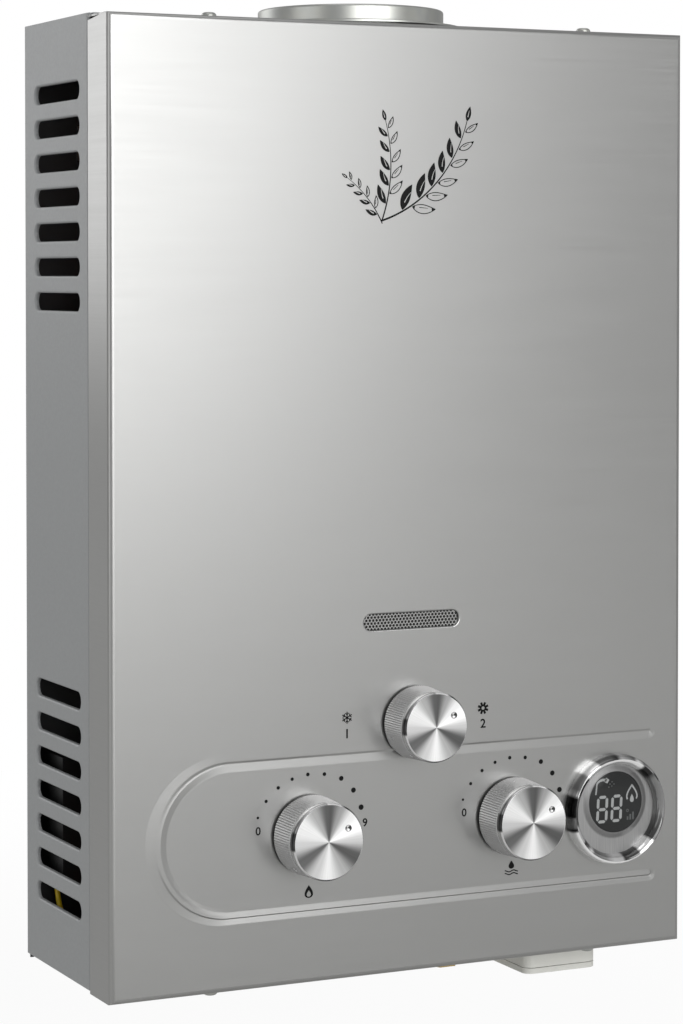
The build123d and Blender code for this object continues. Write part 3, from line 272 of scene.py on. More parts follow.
# %% Camera
picture_height = 1024
focal_pixels = 2903.4
downward, leftward = 1.67, 25.836
camera_data = bpy.data.cameras.new("camera")
camera_data.sensor_width = 36.0
camera_data.lens = focal_pixels * camera_data.sensor_width / picture_height
camera_data.shift_y = -0.149
camera = bpy.data.objects.new("camera", camera_data)
camera.location = (-0.5991, -1.2756, 0.3168)
camera.rotation_euler = (radians(90 - downward), 0, radians(-leftward))
bpy.context.collection.objects.link(camera)
bpy.context.scene.camera = camera
print("lens", round(camera_data.lens, 1), "mm")

# %% [markdown]
# ## Finishes
# A finish is a material named for what the real surface is and how it was made. Two small helpers
# do the work: one turns an sRGB hex colour into the linear numbers that Blender wants, and one adds
# any node with its settings and links. Colour, roughness and the like that are the same all over
# are set on the shader's own sockets.

# %% Colour and node helpers
cloud_ends = (0.3, 0.7)


def linear(hex_colour):
    """Linear RGBA for an sRGB hex colour: c / 12.92 at the lower end, else ((c + 0.055) / 1.055) ** 2.4."""
    values = [int(hex_colour[i:i + 2], 16) / 255 for i in (1, 3, 5)]
    return [v / 12.92 if v <= 0.04045 else ((v + 0.055) / 1.055) ** 2.4 for v in values] + [1.0]


def add_node(finish, kind, sockets=None, **settings):
    """Adds a node. Settings are its properties; a socket takes a value, or a link from a node's output."""
    node = finish.node_tree.nodes.new("ShaderNode" + kind)
    for name, value in settings.items():
        setattr(node, name, value)
    for name, value in (sockets or {}).items():
        if isinstance(value, bpy.types.NodeSocket):
            finish.node_tree.links.new(value, node.inputs[name])
        else:
            node.inputs[name].default_value = value
    return node


def maths(finish, operation, first, second, kind="Math"):
    """The output of a maths node, or of a vector maths node, with two inputs."""
    return add_node(finish, kind, {0: first, 1: second}, operation=operation).outputs[0]


def scaled(finish, colour, factor):
    """A colour or vector times a number."""
    return add_node(finish, "VectorMath", {0: colour, "Scale": factor}, operation="SCALE").outputs[0]


def distance(finish, place):
    """The length of a vector."""
    return add_node(finish, "VectorMath", {0: place}, operation="LENGTH").outputs["Value"]


def map_range(finish, value, ends, results, **settings):
    """Maps a value between two ends to two results."""
    (low, high), (first, last) = ends, results
    sockets = {"Value": value, "From Min": low, "From Max": high, "To Min": first, "To Max": last}
    return add_node(finish, "MapRange", sockets, **settings).outputs[0]


def clouds(finish, place, detail, scale=1.0):
    """Noise between 0 and 1, one cloud to a unit of the place over the scale."""
    return add_node(finish, "TexNoise", {"Vector": place, "Scale": scale, "Detail": detail}).outputs["Fac"]


def between(finish, factor, first, last):
    """A mix of two hex colours."""
    sockets = {"Factor": factor, "A": linear(first), "B": linear(last)}
    return add_node(finish, "Mix", sockets, data_type="RGBA").outputs["Result"]


def feed(finish, socket, output):
    """Links a node's output to a socket of the finish's shader."""
    finish.node_tree.links.new(output, finish.node_tree.nodes["Principled BSDF"].inputs[socket])


def object_pattern(finish, size=(1, 1, 1), turn=(0, 0, 0), centre=(0, 0, 0)):
    """Object coordinates, measured from a centre, turned and divided by a size, all in metres."""
    place = add_node(finish, "TexCoord").outputs["Object"]
    moved = maths(finish, "SUBTRACT", place, centre, "VectorMath")
    scale = [1 / length if length else 0 for length in size]
    return add_node(finish, "Mapping", {"Vector": moved, "Rotation": turn, "Scale": scale}).outputs[0]


def from_axis(finish, centre, size=(1, 1, 1)):
    """Object coordinates from the axis that points out of the wall through centre (x, z) in millimetres."""
    return object_pattern(finish, size, centre=(centre[0] * MM, 0, centre[1] * MM))


def relief(finish, height, depth, strength=1.0):
    """Bump from a height pattern between 0 and 1 that stands for the given depth in millimetres."""
    bump = add_node(finish, "Bump", {"Height": height, "Distance": depth * MM, "Strength": strength})
    feed(finish, "Normal", bump.outputs[0])


def new_finish(name, colour, roughness, metallic=0.0, **sockets):
    """A finish with a plain Principled shader. Further sockets are given by name, with _ for a space."""
    finish = bpy.data.materials.new(name)
    finish.use_nodes = True
    shader = finish.node_tree.nodes["Principled BSDF"]
    values = {"Base Color": linear(colour), "Roughness": roughness, "Metallic": metallic}
    values.update({key.replace("_", " "): value for key, value in sockets.items()})
    for key, value in values.items():
        shader.inputs[key].default_value = value
    finish.diffuse_color = linear(colour)
    return finish


def cloudy_finish(name, colour, roughness, metallic, size, low, high, depth=0.0, strength=1.0, detail=3.0,
                  **sockets):
    """A finish with clouds of the given size in millimetres. They vary the roughness between two numbers, or
    the base colour between two hex colours, and if a depth is given they also stand for that relief."""
    finish = new_finish(name, colour, roughness, metallic, **sockets)
    cloud = clouds(finish, object_pattern(finish, (size * MM,) * 3), detail)
    if isinstance(low, str):
        feed(finish, "Base Color", between(finish, cloud, low, high))
    else:
        feed(finish, "Roughness", map_range(finish, cloud, cloud_ends, (low, high)))
    if depth:
        relief(finish, cloud, depth, strength)
    return finish


# %% [markdown]
# ## Sheet metal and paint
# The cover is stainless sheet with a fine satin grain that runs across it. It is so fine that only a
# faint streak shows here and there. The casing is steel with a grey powder coat, whose surface is
# slightly pebbled. Real grain is about 0.05 mm wide; it is drawn 0.5 mm wide, because anything finer
# than a pixel doesn't show.

# %% Satin steel and powder coat
grain_width = 0.5
grain_length = 60.0

stainless = new_finish("satin_stainless_steel", "#A3A3A2", 0.3, 1.0)
streaks = object_pattern(stainless, (grain_length * MM, grain_length * MM, grain_width * MM))
streak_noise = clouds(stainless, streaks, 2.0)
feed(stainless, "Roughness", map_range(stainless, streak_noise, cloud_ends, (0.28, 0.33)))
relief(stainless, streak_noise, 0.0012, 0.035)
powder_coat = cloudy_finish("grey_powder_coat", "#8C8E8F", 0.42, 0.0, 1.4, 0.38, 0.48, 0.02, 0.5, detail=2.0)
print("finishes:", stainless.name, powder_coat.name)

# %% [markdown]
# ## Finishes of the small parts
# Each slot of the CAD record stands for one real finish: chrome plate, spun aluminium, bare copper,
# brass, die-cast alloy, zinc-plated steel, heat-stained steel, moulded plastics, ceramic, mica,
# rubber and nickel. Nothing on a real heater is one even tone, so each gets the variation that its
# making or use leaves.

# %% One finish for each slot
# Slot: name, colour, roughness, metallic, size of its clouds, their two ends, relief's depth and strength
cloudy_slots = {
    "chrome": ("polished_chrome_plate", "#D2D4D6", 0.07, 1.0, 3.0, 0.05, 0.10),
    "spun_aluminium": ("spun_aluminium", "#C4C5C7", 0.3, 1.0, 0.8, 0.26, 0.36),
    "copper": ("bare_copper", "#B87456", 0.32, 1.0, 18.0, "#A9644A", "#C58766"),
    "brass": ("machined_brass", "#B59A5B", 0.3, 1.0, 6.0, 0.24, 0.38),
    "valve_casting": ("die_cast_alloy", "#9A9C9C", 0.55, 1.0, 1.2, 0.48, 0.62, 0.05, 0.6),
    "plated_steel": ("zinc_plated_steel", "#B4B6B4", 0.36, 1.0, 9.0, "#A5A8A9", "#C2C2BA"),
    "burner_steel": ("heat_stained_steel", "#8C8984", 0.44, 1.0, 30.0, "#7B7673", "#9C9A98"),
    "dark_plastic": ("black_moulded_plastic", "#232425", 0.42, 0.0, 0.6, 0.38, 0.5, 0.01, 0.5),
    "box_plastic": ("pale_grey_moulded_plastic", "#D6D6D0", 0.45, 0.0, 0.7, 0.42, 0.52, 0.01, 0.5),
    "controller_plastic": ("dark_potted_housing_plastic", "#0D0E0F", 0.55, 0.0, 0.7, 0.46, 0.56, 0.01, 0.5),
    "board": ("green_circuit_board", "#2F5A3E", 0.4, 0.0, 4.0, "#2A5238", "#356447"),
    "ceramic": ("glazed_white_ceramic", "#E6E3DB", 0.2, 0.0, 4.0, 0.15, 0.28),
    "rubber": ("moulded_black_rubber", "#1E1E1E", 0.7, 0.0, 2.0, 0.62, 0.78),
    "nickel": ("nickel_plate", "#C2BFB6", 0.2, 1.0, 4.0, 0.16, 0.26),
    "yellow_lead": ("yellow_cable_pvc", "#E3C21F", 0.4, 0.0, 6.0, 0.36, 0.46),
}
mica = cloudy_finish("smoked_sheet_mica", "#141211", 0.4, 0.0, 12.0, "#0E0D0C", "#1B1917",
                     Specular_IOR_Level=0.3)
brass_mesh = new_finish("woven_brass_mesh", "#A88F58", 0.45, 1.0)
weave = object_pattern(brass_mesh, (0.9 * MM,) * 3, (0, 0, radians(45)))
relief(brass_mesh, add_node(brass_mesh, "TexChecker", {"Vector": weave, "Scale": 1.0}).outputs["Fac"], 0.1)

slot_finishes = {"stainless_cover": stainless, "casing_paint": powder_coat, "mica": mica,
                 "filter_mesh": brass_mesh}
slot_finishes.update({slot: cloudy_finish(*row) for slot, row in cloudy_slots.items()})
for part in frame["record"]["subparts"]:
    node = frame["nodes"][part["node"]]
    node.data.materials.clear()
    node.data.materials.append(slot_finishes[part["material_slot"]])

# %% [markdown]
# ## The cover
# The real cover is one stainless sheet, 0.8 mm thick: pressed with a racetrack groove, pierced for the
# window, knobs and display, and then folded back along its four sides round a 2.4 mm bend. It could
# be a box with booleans, but the bends and grooves would shade badly. Here the flat face is a
# triangulated sheet with holes, and every curved stretch is a grid that starts exactly on its edge.
#
# First come the sizes and the groove's centre line with its turn.

# %% Sizes of the cover and the groove's line
sheet = 0.8
bend_radius = 2.4
foot_depth = 12.0
corner_relief = 2.2
face_half = half_width - bend_radius
middle_z = cover_height / 2
face_half_height = cover_height / 2 - bend_radius

groove_top_z = 101.0
groove_bottom_z = 33.8
groove_left = -122.0
groove_right = 127.7
groove_half_width = 4.3
groove_widening = 0.6
turn_radius = (groove_top_z - groove_bottom_z) / 2
turn_x = groove_left + turn_radius
turn_z = (groove_top_z + groove_bottom_z) / 2

window_centre = (1.75, 160.2)
window_length = 48.2
window_height = 7.2
window_lip = 1.3
lip_radius = 0.7

knob_centres = {"gas": (-50.0, 67.0), "water": (53.5, 67.0), "season": (3.5, 114.0)}
spindle_hole = 5.0
display_centre = (108.0, 66.0)
board_window = (31.0, 29.0)


def groove_line(straight_steps=6, turn_steps=56):
    """The groove's centre line from the upper right end round the left turn to the lower right end.
    Returns the points, their outward directions, and how far each is round the turn, from 0 to 1."""
    straight = np.linspace(groove_right, turn_x, straight_steps, endpoint=False)
    turn = np.linspace(pi / 2, 3 * pi / 2, turn_steps + 1)
    ends = np.ones(straight_steps)
    x = np.concatenate((straight, turn_x + turn_radius * np.cos(turn), straight[::-1]))
    z = np.concatenate((groove_top_z * ends, turn_z + turn_radius * np.sin(turn), groove_bottom_z * ends))
    angle = np.concatenate((turn[0] * ends, turn, turn[-1] * ends))
    return np.stack((x, z), axis=1), rays(angle), angle / pi - 0.5


# %% [markdown]
# The groove isn't a plain channel. In the photograph its upper run shows one wide bright band under a
# thin dark line, and its lower run a thin dark line between two bright bands. Bright steel there
# faces up and dark steel faces down. So the upper run is a long slope that falls in towards a short
# steep wall at its outer edge, and the lower run has that wall in its middle. Round the turn, which
# is wider, one profile fades into the other by way of a low ridge whose inner side looks dark.

# %% The groove
groove_depth = 0.62
upper_profile = [(-0.8, 0.0), (0.1, 0.45), (0.28, 0.0)]
lower_profile = [(-0.42, 0.0), (0.235, -0.52), (0.265, 0.52), (0.9, 0.0)]
turn_profile = [(-0.75, 0.0), (-0.1, -0.6), (1.0, 0.0)]
upper_fade = 0.5
lower_fade = 0.35
corner_softness = 0.05
end_steps = 20


def ramp(value):
    """Smooth step from 0 to 1: 3 v squared - 2 v cubed, with v held between 0 and 1."""
    v = np.clip(value, 0, 1)
    return v * v * (3 - 2 * v)


def groove_sink(across, upper, lower, turning=0.0):
    """How deep the sheet lies at across, from -1 at the groove's inner edge to 1 at its outer edge: the
    profiles of the upper run, the lower run and the turn, each times its share. A profile is a line through
    a few corners, rounded by taking its mean over a short stretch."""
    near = across + corner_softness * np.linspace(-1, 1, 7).reshape((7,) + (1,) * np.ndim(across))
    shares = ((upper_profile, upper), (lower_profile, lower), (turn_profile, turning))
    return groove_depth * sum(share * np.interp(near, *np.transpose(profile)).mean(axis=0)
                              for profile, share in shares)


# Spots across the groove, from its middle to its edge, lie closest where the steep walls are
spots = np.concatenate([np.linspace(*stretch) for stretch in ((0, 0.5, 36), (0.5, 0.74, 9), (0.74, 1, 14))])
spots = np.unique(spots.round(4))
across = np.concatenate((-spots[::-1], spots[1:]))[:, None]
line, outward, turned = groove_line()
turn_share = np.sin(pi * turned)
sideways = across * groove_half_width * (1 + groove_widening * turn_share * (across > 0))
sink = groove_sink(across, 1 - ramp(turned / upper_fade), ramp((turned - 0.5) / lower_fade), turn_share)
band = np.stack((line[:, 0] + sideways * outward[:, 0], face_out - sink,
                 line[:, 1] + sideways * outward[:, 1]), axis=2)
end_turn = np.linspace(pi / 2, -pi / 2, end_steps + 1)


def groove_end(z, lower):
    """A run's round end: a half disc of rings whose depth turns from the outer side's to the inner side's."""
    rings = spots[:, None]
    share = (1 + (1 - 2 * lower) * np.sin(end_turn)) / 2
    outer, inner, middle = (groove_sink(place, 1 - lower, lower) for place in (rings, -rings, 0.0))
    sink = share * outer + (1 - share) * inner
    sink = sink + (middle - sink) * (rings == 0)
    reach = rings * groove_half_width
    return grid_surface(np.stack((groove_right + reach * np.cos(end_turn), face_out - sink,
                                  z + reach * np.sin(end_turn)), axis=2))


groove = joined(grid_surface(band), groove_end(groove_top_z, 0.0), groove_end(groove_bottom_z, 1.0))
upper_end, lower_end = ((groove_right, z) + groove_half_width * rays(end_turn[1:-1])
                        for z in (groove_top_z, groove_bottom_z))
groove_outline = np.concatenate((band[-1][:, (0, 2)], lower_end[::-1],
                                 band[0][::-1][:, (0, 2)], upper_end[::-1]))
print("groove:", band.shape[0], "x", band.shape[1], "points, half width", groove_half_width)

# %% [markdown]
# The four flanges are one idea repeated: the edge of the face moves out by r sin a while it sinks by
# r (1 - cos a), a quarter turn in seven steps, and then runs straight back to its rim. Beside the
# corners the top edge of each side flange falls away a little, as the relief cut of a real folded
# corner does, and the top flange has a round notch that lets the flue collar pass.

# %% Flanges
collar_low, collar_high = box_of("flue_collar")
collar_out = (collar_low[1] + collar_high[1]) / 2
notch_radius = 44.7
bend_turn = quarter(7)
side_spots = np.linspace(-1, 1, 9)
notch_half = sqrt(notch_radius**2 - (rim_out - collar_out)**2) / face_half
notch_turn = np.radians(np.linspace(-90, 90, 25))
top_spots = np.concatenate(([-1, -0.6], notch_half * np.sin(notch_turn), [0.6, 1]))


def flange(spots, side, rim):
    """One flange with its bend. side is 'left', 'right', 'top' or 'bottom'; rim is its far edge's out."""
    bend_out = face_out - bend_radius
    middle = face_out - foot_depth
    spread = np.concatenate((bend_radius * np.sin(bend_turn), np.full(3, bend_radius)))[:, None]
    out = np.concatenate((face_out - bend_radius * (1 - np.cos(bend_turn)), (middle, 0, 0)))
    out = np.repeat(out[:, None], len(spots), axis=1)
    out[-2], out[-1] = np.maximum((middle + rim) / 2, rim), rim
    width, height = face_half + spread, face_half_height + spread
    if side in ("left", "right"):
        x = np.broadcast_to((-1 if side == "left" else 1) * width, out.shape)
        fall = corner_relief * np.clip((bend_out - out) / (bend_out - rim_out), 0, 1)
        z = middle_z + spots * height - fall * (spots > 0.999)
    else:
        x = spots * width
        z = np.broadcast_to(middle_z + (1 if side == "top" else -1) * height, out.shape)
    return grid_surface(np.stack((x, out, z), axis=2))


notch_reach = np.clip(notch_radius**2 - (top_spots * (face_half + bend_radius))**2, 0, None)
flanges = joined(
    flange(side_spots, "left", rim_out), flange(side_spots, "right", rim_out),
    flange(top_spots, "top", np.maximum(rim_out, collar_out + np.sqrt(notch_reach))),
    flange(side_spots, "bottom", face_out - foot_depth - 0.01),
)

# %% [markdown]
# The window's edge is drawn inwards: its rim turns a quarter circle and ends a little deeper. With that
# ring, the groove and the flanges ready, the flat face is the rectangle between them, and all the
# pieces close up because they share their edge points. Solidify then gives the sheet its thickness.

# %% The face, joined to its groove, window and flanges


def inward_lip(radius, depth, steps):
    """Rows (grow, sink) of a punched rim: a quarter circle from the face, then straight in to its depth."""
    return [(radius * (1 - sin(a)), radius * (1 - cos(a))) for a in quarter(steps)] + [(0.0, depth)]


def edge_run(x, z):
    """The points along one side of the face, without the last, which starts the next side."""
    return np.stack(np.broadcast_arrays(x, z), axis=1)[:-1]


lip = np.stack([at_out(slot_loop(window_centre, window_length, window_height, grow), face_out - sink)
                for grow, sink in inward_lip(lip_radius, window_lip, 5)])
face_edge = np.concatenate((
    edge_run(side_spots * face_half, middle_z - face_half_height),
    edge_run(face_half, middle_z + side_spots * face_half_height),
    edge_run(top_spots[::-1] * face_half, middle_z + face_half_height),
    edge_run(-face_half, middle_z - side_spots * face_half_height),
))
board_corners = np.array([(-1, -1), (1, -1), (1, 1), (-1, 1)]) * np.array(board_window) / 2 + display_centre
face_holes = [groove_outline, lip[0][:, (0, 2)], board_corners]
face_holes += [circle_loop(centre, spindle_hole) for centre in knob_centres.values()]
face_points, face_triangles = flat_sheet(face_edge, face_holes)
face = (at_out(face_points, face_out), face_triangles)
cover = make_piece("cover_sheet", joined(face, flanges, groove, grid_surface(lip, closed=True)),
                   slot="stainless_cover", replaces=["front_cover"], sharp=28, outward=True, panels=True)
thicken(cover, sheet)
print("cover:", len(cover.data.vertices), "points,", len(cover.data.polygons), "faces")

# %% [markdown]
# ## The casing
# Back and sides are one painted sheet, pierced flat and then folded. So it is drawn flat here too,
# as the sheet-metal shop would: s runs across the unfolded sheet, z up. The vents, keyholes and
# screw holes are cut in the flat pattern, and one function folds it round the two back corners and
# steps its front edges in, where the cover laps over them. Each vent gets the small inward lip that
# a punch leaves.

# %% The fold
casing_low, casing_high = box_of("rear_casing")
casing_half, tongue_front, casing_top = casing_high
fold_radius = 1.6
side_front = rim_out - 0.3
back_half = casing_half - fold_radius
fold_length = fold_radius * pi / 2
step_in = 0.6
step_length = 2.0


def folded(points):
    """Folds flat points (s, z): the back is flat, s past it goes round the fold radius and then straight out,
    and the last stretch steps in by a smooth ramp."""
    s, side = np.abs(points[:, 0]), np.sign(points[:, 0])
    angle = np.clip((s - back_half) / fold_radius, 0, pi / 2)
    straight = np.clip(s - back_half - fold_length, 0, None)
    x = np.minimum(s, back_half) + fold_radius * np.sin(angle)
    out = fold_radius * (1 - np.cos(angle)) + straight
    x = x - step_in * ramp((out - side_front + step_length) / step_length)
    return np.stack((side * x, out, points[:, 1]), axis=1)


def flat_s(out):
    """Where a point that far out on the side lies on the flat pattern."""
    return back_half + fold_length + out - fold_radius


def keyhole_loop(centre, head=5.5, neck=2.75, rise=10.0, steps=20):
    """A keyhole: a head circle whose top opens into a narrower neck with a round end."""
    opening = np.arcsin(neck / head)
    head_part = head * rays(np.linspace(pi / 2 + opening, 5 * pi / 2 - opening, steps))
    neck_part = (0, rise) + neck * rays(np.linspace(0, pi, 9))
    return np.concatenate((head_part, neck_part)) + centre


# %% The flat pattern
vent_out = 42.7
vent_size = (57.5, 8.0)
vent_pitch = 15.65
vent_count = 7
vent_top_z = 398.5
vent_low_z = 33.6
vent_lip = 0.9
vent_depth = 1.9
casing_foot = 1.0
lap_room = 9.0
keyhole_x, keyhole_drop = 70.0, 26.0
screw_hole, screw_hole_x, screw_hole_z = 3.25, 100.0, 16.0
steps_up = vent_pitch * np.arange(vent_count)
vents = [(side, z) for side in (-1, 1) for z in (*(vent_top_z - steps_up), *(vent_low_z + steps_up))]

outline = [
    (back_half, casing_low[2]), (back_half, casing_foot), (flat_s(side_front), casing_foot),
    (flat_s(side_front), casing_foot + lap_room), (flat_s(tongue_front), casing_foot + lap_room),
    (flat_s(tongue_front), cover_height - lap_room), (flat_s(side_front), cover_height - lap_room),
    (flat_s(side_front), casing_top),
]
outline += [(-s, z) for s, z in outline[::-1]]
fold_lines = list(np.linspace(back_half, back_half + fold_length, 6)[1:])
fold_lines += [flat_s(side_front - step_length * share) for share in (1.0, 0.8, 0.6, 0.4, 0.2)]
bend_edges = [[(side * s, casing_foot), (side * s, casing_top)] for s in fold_lines for side in (-1, 1)]
holes = [slot_loop((side * flat_s(vent_out), z), *vent_size, vent_lip) for side, z in vents]
holes += [keyhole_loop((x, cover_height - keyhole_drop)) for x in (-keyhole_x, keyhole_x)]
holes += [circle_loop((x, screw_hole_z), screw_hole, 24) for x in (-screw_hole_x, screw_hole_x)]
flat_points, casing_faces = flat_sheet(outline, holes, bend_edges)


def vent_ring(side, z, grow, sink):
    """One ring of a vent's lip: a slot loop on the casing's side, grown and sunk inwards."""
    loop = slot_loop((side * vent_out, z), *vent_size, grow) * (side, 1)
    return np.insert(loop, 0, side * (casing_half - sink), axis=1)


lip_rows = inward_lip(vent_lip, vent_depth, 4)
vent_lips = [grid_surface(np.stack([vent_ring(side, z, *row) for row in lip_rows]), closed=True)
             for side, z in vents]
casing = make_piece("casing_sheet", joined((folded(flat_points), casing_faces), *vent_lips),
                    slot="casing_paint", replaces=["rear_casing"], sharp=40, outward=True, panels=True)
# The inner side gets a dark finish that is painted shade: it keeps the vents' insides near black.
casing.data.materials.append(cloudy_finish("inner_sheet_painted_dark_as_shade", "#262728", 0.6, 0.0, 20.0,
                                           "#303132", "#444546"))
thicken(casing, sheet)
casing.modifiers["thickness"].material_offset = 1
print("casing:", len(casing.data.polygons), "faces with", len(vent_lips), "vents")

# %% [markdown]
# ## The flue collar
# Burnt gas leaves through a spun steel collar: a neck with a flange below and a rolled-in rim above.
# A spun piece is a profile turned about its axis, so that is how it is made, with small radii where
# the spinning tool can't make a sharp edge.

# %% The collar
collar_radius = 43.5
collar_inner = 41.5
rim_radius = 1.2
root_radius = 1.5
collar_edge = 0.3
flange_radius, _, neck_top = collar_high
collar_foot = collar_low[2]
flange_low = casing_top + 0.05
collar_profile = [(collar_inner, collar_foot), (collar_radius, collar_foot), (collar_radius, flange_low),
                  (flange_radius, flange_low), (flange_radius, flange_low + sheet)]
collar_profile += [(collar_radius + root_radius * (1 - sin(a)),
                    flange_low + sheet + root_radius * (1 - cos(a))) for a in quarter(5)]
collar_profile += [(collar_radius - rim_radius * (1 - cos(a)), neck_top - rim_radius * (1 - sin(a)))
                   for a in quarter(6)]
collar_profile += [(collar_inner + collar_edge, neck_top), (collar_inner, neck_top - collar_edge),
                   (collar_inner, collar_foot)]
make_piece("collar_spun", turned_surface(collar_profile, (0, collar_out), 128, upright=True),
           slot="plated_steel", replaces=["flue_collar"], sharp=30, outward=True)
print("collar: top", round(neck_top, 1), "radius", collar_radius)

# %% [markdown]
# ## Painted reflections that go round an axis
# Turned metal shows bright and dark wedges that run from its middle to its edge, because each tiny
# circular scratch mirrors the room in one direction only. A ring of chrome does the same with
# sharper patches. Here those reflections are painted into the base colour, as a colour ramp over the
# angle about the part's axis, which is worked out from the object coordinates, so these painted
# highlights and shades stay with the part as it turns.

# %% Round painted reflections


def paint_reflections_by_angle(finish, centre, stops, interpolation="LINEAR", streak=0.0):
    """Painted reflections: base colour by angle about the axis through centre (x, z), from stops of painted
    highlight and shade. The angle is arctan2(z, x), counted from the left (0) through below (0.25), right
    (0.5) and above (0.75). streak adds fine rays of that relative strength."""
    axes = add_node(finish, "SeparateXYZ", {"Vector": from_axis(finish, centre)})
    angle = maths(finish, "ARCTAN2", axes.outputs["Z"], axes.outputs["X"])
    share = map_range(finish, angle, (-pi, pi), (0, 1))
    tones = add_node(finish, "ValToRGB", {"Fac": share})
    tones.color_ramp.interpolation = interpolation
    elements = tones.color_ramp.elements
    while len(elements) < len(stops):
        elements.new(0.5)
    for element, (position, tone) in zip(elements, stops):
        element.position, element.color = position, linear(tone)
    result = tones.outputs["Color"]
    if streak:
        fine_rays = clouds(finish, add_node(finish, "CombineXYZ", {"X": angle}).outputs[0], 3.0, scale=22.0)
        result = scaled(finish, result, map_range(finish, fine_rays, cloud_ends, (1 - streak, 1 + streak)))
    feed(finish, "Base Color", result)


def ring_tangent(finish, centre):
    """The direction of the turning marks: the place, measured from the centre, crossed with the axis."""
    along = maths(finish, "CROSS_PRODUCT", from_axis(finish, centre), (0, 1, 0), "VectorMath")
    feed(finish, "Tangent", along)


# %% [markdown]
# ## The knobs
# Each knob is a knurled skirt and a turned aluminium disc pressed into its front, on a dark moulded
# ring at its foot. That ring is painted shade: it shows as a thin dark line that stands for the shadow
# line between knob and cover. The knurl is a straight one: fine teeth along the axis, which a wheel
# rolls into the turned blank. So the skirt is a turned profile whose radius also swings with the angle,
# and each profile point says how much of the tooth depth it shows. The disc has a rim, a face and a
# small polished dimple that points at the scale, and all three carry painted reflections: bright and
# dark patches in their base colour.

# %% Knob sizes and tones
knob_sizes = {"gas": (18.5, 17.25), "water": (18.5, 17.25), "season": (17.15, 15.85)}
knob_back = 108.8
shadow_ring_front = 109.7
grip_back = 109.55
teeth_out = (109.8, 124.2)
grip_front = 124.9
cap_back = 126.4
knob_front = 129.0
seat_radius = 5.2
tooth_count = 96
tooth_steps = 4
tooth_depth = 0.42
dimple_radius = 1.6
dimple_depth = 0.8
dimple_share = 11.0 / 17.25
dimple_turn = radians(30)

# Painted reflections of the spun face: three bright and three dark wedges round its axis.
face_painted_reflections = [
    (0.0, "#CDCDCD"), (0.075, "#5C5C5C"), (0.10, "#606060"), (0.18, "#C9C9C9"), (0.245, "#FAFAFA"),
    (0.33, "#BDBDBD"), (0.405, "#5E5E5E"), (0.43, "#606060"), (0.50, "#D0D0D0"), (0.56, "#FDFDFD"),
    (0.62, "#E2E2E2"), (0.685, "#9C9C9C"), (0.74, "#585858"), (0.765, "#606060"), (0.83, "#B9B9B9"),
    (0.90, "#FDFDFD"), (0.945, "#F4F4F4"), (1.0, "#CDCDCD"),
]
# Painted reflections of the rim: bright and dark patches, brightest above.
rim_painted_reflections = [
    (0.0, "#4C4C4C"), (0.022, "#3E3E3E"), (0.03, "#D8D8D8"), (0.15, "#D0D0D0"), (0.20, "#8A8A8A"),
    (0.25, "#5A5A5A"), (0.30, "#B0B0B0"), (0.45, "#F4F4F4"), (0.55, "#E4E4E4"), (0.63, "#8A8A8A"),
    (0.665, "#3A3A3A"), (0.68, "#9A9A9A"), (0.695, "#FFFFFF"), (0.75, "#FFFFFF"), (0.76, "#A8A8A8"),
    (0.84, "#E0E0E0"), (0.90, "#A0A0A0"), (0.945, "#8A8A8A"), (0.955, "#303030"), (1.0, "#4C4C4C"),
]
# Painted reflections in the dimple: bright and dark patches round it.
dimple_painted_reflections = [
    (0.0, "#5A5A5A"), (0.12, "#C8C8C8"), (0.25, "#F4F4F4"), (0.38, "#8A8A8A"), (0.47, "#303030"),
    (0.62, "#484848"), (0.68, "#E8E8E8"), (0.84, "#F4F4F4"), (0.92, "#6A6A6A"), (1.0, "#5A5A5A"),
]

# %% The knobs
knurled_alloy = cloudy_finish("knurled_satin_aluminium", "#C0C0C0", 0.25, 0.6, 12.0, 0.22, 0.28)


def knurled_surface(profile, centre):
    """A turned profile of (radius, out, share) with teeth: the radius drops by share * depth * |saw|, where
    saw runs straight from -1 to 1 across each tooth."""
    radius, out, share = np.asarray(profile, float).T[:, :, None]
    number = np.arange(tooth_count * tooth_steps)
    valley = np.abs((number % tooth_steps) / tooth_steps * 2 - 1)
    return round_surface(centre, radius - share * tooth_depth * valley, number / number.size * 2 * pi, out)


